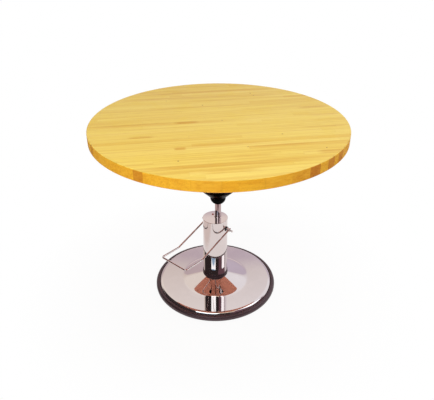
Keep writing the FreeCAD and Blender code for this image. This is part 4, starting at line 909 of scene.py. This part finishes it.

# %% [markdown]
# ## Where the rod bends
#
# The foot bar's place comes from the pedal's box, and the pivot from the joint that the pedal turns on. The rod's
# radius is a named value, and the knee, where the arms turn from sloping to level, needs its own two numbers.
# The rod is laid out for the right side and mirrored for the left.

# %% Pedal
KNEE_REACH = 183.1 * MM
KNEE_DROP = 67.8 * MM
BAR_RISE = 1.3 * MM
ROD_OVERHANG = 10 * MM
ROD_RADIUS = 4 * MM
PIVOT_SPREAD = 70.7 * MM
KNEE_BEND = 30 * MM
CORNER_BEND = 11 * MM
SHARP_END = 50.0

pivot = Vector(next(j["pos_m"] for j in frame["joints"] if j["name"] == "pedal_press"))
low, high = span("pedal_bail")
bar_spread = high.x - ROD_RADIUS
bar_y = low.y + ROD_RADIUS
knee_share = KNEE_REACH / (pivot.y - bar_y)
knee_spread = PIVOT_SPREAD + (bar_spread - PIVOT_SPREAD) * knee_share
knee = Vector((knee_spread, pivot.y - KNEE_REACH, pivot.z - KNEE_DROP))
stud = Vector((PIVOT_SPREAD, pivot.y, pivot.z))
rod_end = stud + Vector((0, KNEE_REACH, KNEE_DROP)).normalized() * ROD_OVERHANG
bar_end = Vector((bar_spread, bar_y, knee.z + BAR_RISE))
right_side = [(rod_end, 0.0), (knee, KNEE_BEND), (bar_end, CORNER_BEND)]
left_side = [(Vector((-p.x, p.y, p.z)), radius) for p, radius in reversed(right_side)]
corners = right_side + left_side

path = bpy.data.meshes.new("Pedal corners")
path.from_pydata([p for p, _ in corners], [(i, i + 1) for i in range(len(corners) - 1)], [])
path.attributes.new("bend", "FLOAT", "POINT").data.foreach_set("value", [radius for _, radius in corners])
pedal_mesh = grow("Pedal", path, bent_rod, Rod_Radius=ROD_RADIUS, Finish=FINISHES["chrome"])
smooth(pedal_mesh, SHARP_END)
stand_in("Pedal rod", pedal_mesh, "pedal_bail")


# %% [markdown]
# ## Pivot studs
#
# The rod is clamped across two studs that turn in the column. Each stud has a shoulder outside the seal,
# and a screw in its end with a thin neck and a head that flares outwards, like a little trumpet. They are
# turned pieces whose axis lies along X: the same lathe, with a matrix that lays the outline down.

# %% Studs and clamp screws
SHOULDER_RADIUS = 9 * MM
SHOULDER_WIDTH = 3 * MM
SEAL_WIDTH = 3 * MM
STUD_RADIUS = 7 * MM
NECK_RADIUS = 3 * MM
NECK_LENGTH = 6 * MM
HEAD_LENGTH = 6 * MM
NECK_SINK = 2 * MM
NECK_FLARE = 4 * MM
SEAL_GAP = 0.3 * MM

shoulder_start = column_radius + SEAL_WIDTH + SEAL_GAP
low, high = span("clamp_screws")
head_end = high.x
head_radius = (high.z - low.z) / 2
stud_end = head_end - HEAD_LENGTH - NECK_LENGTH
screw_sides = []
for side, way in (("right", 1), ("left", -1)):
    lying = Matrix.Translation(pivot) @ Matrix.Rotation(way * math.pi / 2, 4, "Y")
    node = f"pivot_stud_{side}"
    inner = min(abs(corner.x) for corner in span(node))
    turned(
        f"Pivot stud, {side}",
        node,
        (0, inner),
        (STUD_RADIUS, inner),
        (STUD_RADIUS, shoulder_start),
        (SHOULDER_RADIUS, shoulder_start, SOFT_EDGE),
        (SHOULDER_RADIUS, shoulder_start + SHOULDER_WIDTH, SOFT_EDGE),
        (STUD_RADIUS, shoulder_start + SHOULDER_WIDTH),
        (STUD_RADIUS, stud_end, SOFT_EDGE),
        (0, stud_end),
        axis=lying,
        around=64,
    )
    screw = [
        (0, stud_end - NECK_SINK),
        (NECK_RADIUS, stud_end - NECK_SINK),
        (NECK_RADIUS, stud_end + NECK_LENGTH, NECK_FLARE),
        (head_radius, head_end, FINE_EDGE),
        (0, head_end),
    ]
    screw_sides.append(turn_mesh("Clamp screw", screw, lying, 48))

both = bmesh.new()
for mesh in screw_sides:
    both.from_mesh(mesh)
clamp_screws = bpy.data.meshes.new("Clamp screws")
both.to_mesh(clamp_screws)
both.free()
smooth(clamp_screws)
stand_in("Clamp screws", clamp_screws, "clamp_screws")


# %% [markdown]
# ## Hub and arms
#
# These castings have no simple outline, so their stand-ins start from the CAD shape itself: a copy whose
# loose triangles are merged. On the arms a Bevel rounds the edges that the sand mould and the grinder left
# round. The CAD mesh stays untouched; only the copy is welded and bevelled.

# %% Castings from welded copies
WELD = 1e-5
FLAT = math.radians(0.5)
BEVEL_FROM = math.radians(40)
CAST_EDGE = 2.0 * MM


def cast_copy(name, node, edge=0.0):
    """A copy of a casting, its loose triangles joined and its edges rounded, standing in for the node."""
    mesh = frame["nodes"][node].data.copy()
    weld = bmesh.new()
    weld.from_mesh(mesh)
    bmesh.ops.remove_doubles(weld, verts=weld.verts, dist=WELD)
    bmesh.ops.dissolve_limit(weld, angle_limit=FLAT, verts=weld.verts, edges=weld.edges, use_dissolve_boundaries=False)
    weld.to_mesh(mesh)
    weld.free()
    smooth(mesh)
    piece = stand_in(name, mesh, node)
    if edge:
        bevel = piece.modifiers.new("Eased edges", "BEVEL")
        bevel.width = edge
        bevel.segments = 3
        bevel.limit_method = "ANGLE"
        bevel.angle_limit = BEVEL_FROM
        bevel.harden_normals = True


cast_copy("Hub casting", "spider_hub")
for side in ("right_back", "left_back", "left_front", "right_front"):
    cast_copy(f"Arm, {side.replace('_', ' ')}", f"spider_arm_{side}", edge=CAST_EDGE)
cast_copy("Base casting", "base_casting")


# %% [markdown]
# ## Screws, planted by Geometry Nodes
#
# Sixteen socket-head screws hold the arms and the top. They are one screw, planted on points: the tree
# builds a head with a hexagonal socket and a shank, and puts a copy on every point, turned to the point's
# own direction. Where the screws go is measured on the CAD model, by taking its screws apart into loose
# solids and finding each one's axis.

# %% Geometry tree: planted screws
planted, planted_in, planted_out = new_group(
    "Planted screws",
    {
        "Points": "Geometry",
        "Head Radius": 0.006,
        "Head Height": 0.006,
        "Socket Radius": 0.003,
        "Shank Radius": 0.003,
        "Shank Length": 0.02,
        "Finish": "Material",
    },
    {"Screws": "Geometry"},
    kind="GeometryNodeTree",
)


def post(vertices, radius, depth, centre_height):
    """An upright cylinder in the tree, centred at a height."""
    sizes = {"Vertices": vertices, "Radius": radius, "Depth": depth}
    solid = follow("GeometryNodeMeshCylinder", sizes)[0]
    lift = follow("ShaderNodeCombineXYZ", {"Z": centre_height})[0]
    return follow("GeometryNodeTransform", {"Geometry": solid, "Translation": lift})[0]


half_head = times(planted_in["Head Height"], 0.5)
half_shank = times(planted_in["Shank Length"], -0.5)
head = post(48, planted_in["Head Radius"], planted_in["Head Height"], half_head)
socket = post(6, planted_in["Socket Radius"], planted_in["Head Height"], planted_in["Head Height"])
hollow_head = follow("GeometryNodeMeshBoolean", {"Mesh 1": head, "Mesh 2": socket}, operation="DIFFERENCE")[0]
shank = post(32, planted_in["Shank Radius"], planted_in["Shank Length"], half_shank)
screw = planted.nodes.new("GeometryNodeJoinGeometry")
planted.links.new(hollow_head, screw.inputs[0])
planted.links.new(shank, screw.inputs[0])
aim = add(planted, "GeometryNodeInputNamedAttribute", {"Name": "aim"}, data_type="FLOAT_VECTOR")[0]
turn_to = follow("FunctionNodeAlignRotationToVector", {"Vector": aim}, axis="Z")[0]
planting = {"Points": planted_in["Points"], "Instance": screw.outputs[0], "Rotation": turn_to}
copies = follow("GeometryNodeInstanceOnPoints", planting)[0]
end_tree(copies, planted_in["Finish"], planted_out)
print("tree:", planted.name)


# %% Measure the screws of the model and plant them
HEAD_FROM = 0.9
UNDER_HEAD = 1e-4
SOCKET_SHARE = 0.55


def loose_solids(node):
    """The points of each loose solid of a node."""
    weld = bmesh.new()
    weld.from_mesh(frame["nodes"][node].data)
    bmesh.ops.remove_doubles(weld, verts=weld.verts, dist=WELD)
    left = set(weld.verts)
    while left:
        found, border = set(), [left.pop()]
        while border:
            vertex = border.pop()
            found.add(vertex)
            fresh = {e.other_vert(vertex) for e in vertex.link_edges} & left
            left -= fresh
            border += fresh
        yield np.array([tuple(v.co) for v in found])
    weld.free()


def measure_screw(points):
    """(seat under the head, direction of the head, radii and lengths) of one screw."""
    centre = (points.min(0) + points.max(0)) / 2
    axis = np.linalg.svd(points - points.mean(0))[2][0]
    along = (points - centre) @ axis
    out = np.linalg.norm(points - centre - np.outer(along, axis), axis=1)
    wide = out > HEAD_FROM * out.max()
    if along[wide].mean() < 0:
        axis, along = -axis, -along
    head = along[wide]
    seat = centre + axis * head.min()
    shank = out[along < head.min() - UNDER_HEAD]
    return Vector(seat), Vector(axis), out.max(), head.max() - head.min(), shank.max(), head.min() - along.min()


def plant_screws(name, node):
    """Socket-head screws in place of a node's own."""
    measured = [measure_screw(points) for points in loose_solids(node)]
    measured.sort(key=lambda screw: tuple(round(c, 4) for c in screw[0]))
    points = bpy.data.meshes.new(name)
    points.from_pydata([screw[0] for screw in measured], [], [])
    aims = [c for screw in measured for c in screw[1]]
    points.attributes.new("aim", "FLOAT_VECTOR", "POINT").data.foreach_set("vector", aims)
    sizes = dict(zip(("Head_Radius", "Head_Height", "Shank_Radius", "Shank_Length"), map(float, measured[0][2:])))
    sizes["Socket_Radius"] = sizes["Head_Radius"] * SOCKET_SHARE
    mesh = grow(name, points, planted, Finish=FINISHES[SLOT_OF[node]], **sizes)
    smooth(mesh)
    stand_in(name, mesh, node)
    print(f"{name}: {len(measured)} screws, heads {2000 * sizes['Head_Radius']:.1f} mm wide")


plant_screws("Arm bolts", "arm_bolts")
plant_screws("Top screws", "top_screws")


# %% [markdown]
# ## The studio: floor
#
# The floor is a big pale sheet. It has two jobs that pull apart: the camera should see clean white, and
# the object should still stand on something. So the sheet is mostly a plain glow for the camera and for
# mirrors, with a share of ordinary matt paper left in it to take the soft shadow. The camera sees the glow
# white. Mirrors see a sheet with painted shade at its left end, pinker and darker there, bright elsewhere,
# ending before the camera, where dark boards begin.

# %% Floor
FLOOR_SIZE = 14.0
PAPER_SHARE = 0.08
PAPER = (0.90, 0.88, 0.87, 1.0)
PAPER_NEAR, PAPER_FAR = 0.5, 0.95
# painted shade: the left end of the sheet, as mirrors see it, pinker and darker as if less light fell there
PAINTED_SHADE_PAPER = (0.84, 0.73, 0.69, 1.0)
BRIGHT_PAPER = (0.99, 0.96, 0.955, 1.0)
DARK_BOARDS = (0.26, 0.17, 0.17, 1.0)
PAPER_END = (0.66, 0.80)
PAINTED_SHADE_END = (-0.43, -0.32)

floor_mesh = bpy.data.meshes.new("Floor")
edge = FLOOR_SIZE / 2
floor_mesh.from_pydata([(-edge, -edge, 0), (edge, -edge, 0), (edge, edge, 0), (-edge, edge, 0)], [], [(0, 1, 2, 3)])
floor_finish = bpy.data.materials.new("Paper floor")
floor_finish.use_nodes = True
tree = floor_finish.node_tree
tree.nodes.clear()
to_camera = Vector((math.sin(CAMERA_AZIMUTH), -math.cos(CAMERA_AZIMUTH), 0.0))
to_right = Vector((math.cos(CAMERA_AZIMUTH), math.sin(CAMERA_AZIMUTH), 0.0))
spot = add(tree, "ShaderNodeTexCoord")["Object"]
foot = (-column_axis.x, -column_axis.y, 0.0)
from_column = vector_maths("ADD", spot, foot)["Vector"]
distance = vector_maths("LENGTH", from_column)["Value"]
# painted shade on the sheet's left end, then the dark boards towards the camera
mirrored = blend(spread(towards(from_column, to_right), *PAINTED_SHADE_END), PAINTED_SHADE_PAPER, BRIGHT_PAPER)
mirrored = blend(spread(towards(from_column, to_camera), *PAPER_END), mirrored, DARK_BOARDS)
rays = add(tree, "ShaderNodeLightPath")
shown = blend(rays["Is Camera Ray"], mirrored, WHITE)
paper = add(tree, "ShaderNodeBsdfDiffuse", {"Color": PAPER})[0]
glow = follow("ShaderNodeEmission", {"Color": shown})[0]
seen = maths("MAXIMUM", rays["Is Camera Ray"], rays["Is Glossy Ray"])
paper_part = spread(distance, PAPER_NEAR, PAPER_FAR, PAPER_SHARE, 0.0)
share = times(seen, maths("SUBTRACT", 1.0, paper_part))
mixed = follow("ShaderNodeMixShader", {0: share, 1: paper, 2: glow})[0]
follow("ShaderNodeOutputMaterial", {"Surface": mixed})
floor = new_piece("Floor", floor_mesh, floor_finish)
print(f"floor {FLOOR_SIZE} m square, {PAPER_SHARE:.0%} paper near the table")


# %% [markdown]
# ## The studio: what chrome sees
#
# A chrome column is a picture of the room. Here the room is pale behind the table, as a paper sweep would
# be: mauve low down and brighter higher up, warm to the left and cool to the right, with one small pink
# panel in its middle. It is dark on the camera's side, as the unlit part of a studio is, and brown at the
# right of that. The camera itself sees only white. The world's colour therefore depends on the direction
# that a ray goes: `front` is how far it points to the dark side, `side` how far to the right, and `up` how
# high. The edge between mauve and bright hangs like an arch, so `side` squared is added to the height.

# %% World
MAUVE_TO, PALE_FROM, BRIGHT_FROM = 0.590, 0.612, 0.68
WARM_TO_COOL = (-0.2, 0.2)
PALE_TO_DARK = (-0.42, -0.28)
DARK_TO_BROWN = (0.40, 0.5)
PANEL_SIDES = (0.08, 0.12)
PANEL_ENDS = (0.02, 0.03)
PINK_PANEL = (0.98, 0.88, 0.84, 1.0)
PANEL_HEIGHT = 0.545
WARM_END = (1.0, 0.95, 0.88, 1.0)
COOL_END = (1.03, 1.05, 1.10, 1.0)
MAUVE_WALL = (0.65, 0.57, 0.65, 1.0)
PALE_WALL = (0.84, 0.79, 0.78, 1.0)
BRIGHT_WALL = (0.99, 0.98, 0.98, 1.0)
DARK_ROOM = (0.045, 0.034, 0.036, 1.0)
BROWN_ROOM = (0.20, 0.11, 0.14, 1.0)
DARK_SIDE = CAMERA_AZIMUTH - math.radians(9.5)
ARCH = 0.86

world = bpy.data.worlds.new("Studio")
bpy.context.scene.world = world
world.use_nodes = True
tree = world.node_tree
tree.nodes.clear()
direction = add(tree, "ShaderNodeTexCoord")["Generated"]
to_dark = (math.sin(DARK_SIDE), -math.cos(DARK_SIDE), 0.0)
front = towards(direction, to_dark)
side = towards(direction, to_right)
up = follow("ShaderNodeSeparateXYZ", {0: direction})["Z"]
level = maths("MULTIPLY_ADD", times(side, side), ARCH, up)
wall = ramp(level, (MAUVE_TO, MAUVE_WALL), (PALE_FROM, PALE_WALL), (BRIGHT_FROM, BRIGHT_WALL))
warmth = blend(spread(side, *WARM_TO_COOL), WARM_END, COOL_END)
wall = blend(1.0, wall, warmth, "MULTIPLY")
in_middle = spread(maths("ABSOLUTE", side), *PANEL_SIDES, 1.0, 0.0)
off_height = maths("ABSOLUTE", maths("SUBTRACT", up, PANEL_HEIGHT))
in_panel = times(in_middle, spread(off_height, *PANEL_ENDS, 1.0, 0.0))
wall = blend(in_panel, wall, PINK_PANEL)
unlit = blend(spread(side, *DARK_TO_BROWN), DARK_ROOM, BROWN_ROOM)
room = blend(spread(front, *PALE_TO_DARK), wall, unlit)
rays = add(tree, "ShaderNodeLightPath")
backdrop = add(tree, "ShaderNodeBackground", {"Color": WHITE})[0]
surround = follow("ShaderNodeBackground", {"Color": room})[0]
seen = follow("ShaderNodeMixShader", {0: rays["Is Camera Ray"], 1: surround, 2: backdrop})[0]
follow("ShaderNodeOutputWorld", {"Surface": seen})
print("world: pale behind, dark in front, white to the camera")


# %% [markdown]
# ## The studio: lamps
#
# Two softboxes are the two bright stripes on the column: one stands beside the camera, the other far round
# to the right. Under the left one is a pane of blue daylight, and high over the camera hangs a warm strip.
# What a mirror shows of a lamp is its radiance, power over pi times area, so the lamps are given by
# radiance and kept low. The wood is lit by two more that mirrors don't see: one high behind the table for
# the top, one low in front for the rim.

# %% Lamps
COOL = (0.90, 1.05, 1.08)
DAYLIGHT = (0.55, 0.97, 1.38)
WARM = (1.0, 0.90, 0.72)
NEUTRAL = (1.0, 1.0, 1.0)


def soft_lamp(name, azimuth, elevation, distance, width, height, radiance, color, aim=0.4, mirrored=True):
    """A rectangular lamp round the table, facing a point above the column."""
    data = bpy.data.lights.new(name, "AREA")
    data.shape = "RECTANGLE"
    data.size, data.size_y = width, height
    data.energy = radiance * math.pi * width * height
    data.color = color
    lamp = placed(name, data)
    a, e = math.radians(azimuth), math.radians(elevation)
    out = Vector((math.sin(a) * math.cos(e), -math.cos(a) * math.cos(e), math.sin(e)))
    target = Vector((column_axis.x, column_axis.y, aim))
    lamp.matrix_world = Matrix.Translation(target + out * distance) @ out.to_track_quat("Z", "Y").to_matrix().to_4x4()
    lamp.visible_glossy = mirrored
    lamp.visible_camera = False
    print(f"{name}: azimuth {azimuth}, elevation {elevation}, {data.energy:.0f} W")


# azimuth and elevation in degrees, then distance, width and height in metres, and radiance
soft_lamp("Left softbox", 24.3, 42.5, 2.6, 1.68, 1.3, 2.1, COOL)
soft_lamp("Blue pane", 24.3, 25, 2.6, 1.5, 0.3, 0.75, DAYLIGHT)
soft_lamp("Right softbox", 124, 40.5, 2.6, 1.3, 2.3, 1.9, COOL)
soft_lamp("High strip", 41.8, 60, 2.6, 2.6, 0.8, 1.0, WARM, aim=0.0)
soft_lamp("Overhead", 221.8, 72, 2.6, 3.0, 3.0, 1.03, NEUTRAL, aim=0.8, mirrored=False)
soft_lamp("Front fill", 22, 20, 3.0, 3.0, 1.6, 2.35, NEUTRAL, aim=0.6, mirrored=False)


# %% [markdown]
# ## Last look
#
# The colours were chosen as they should appear, so the picture is shown without any film curve.

# %% Finish
bpy.context.scene.view_settings.view_transform = "Standard"
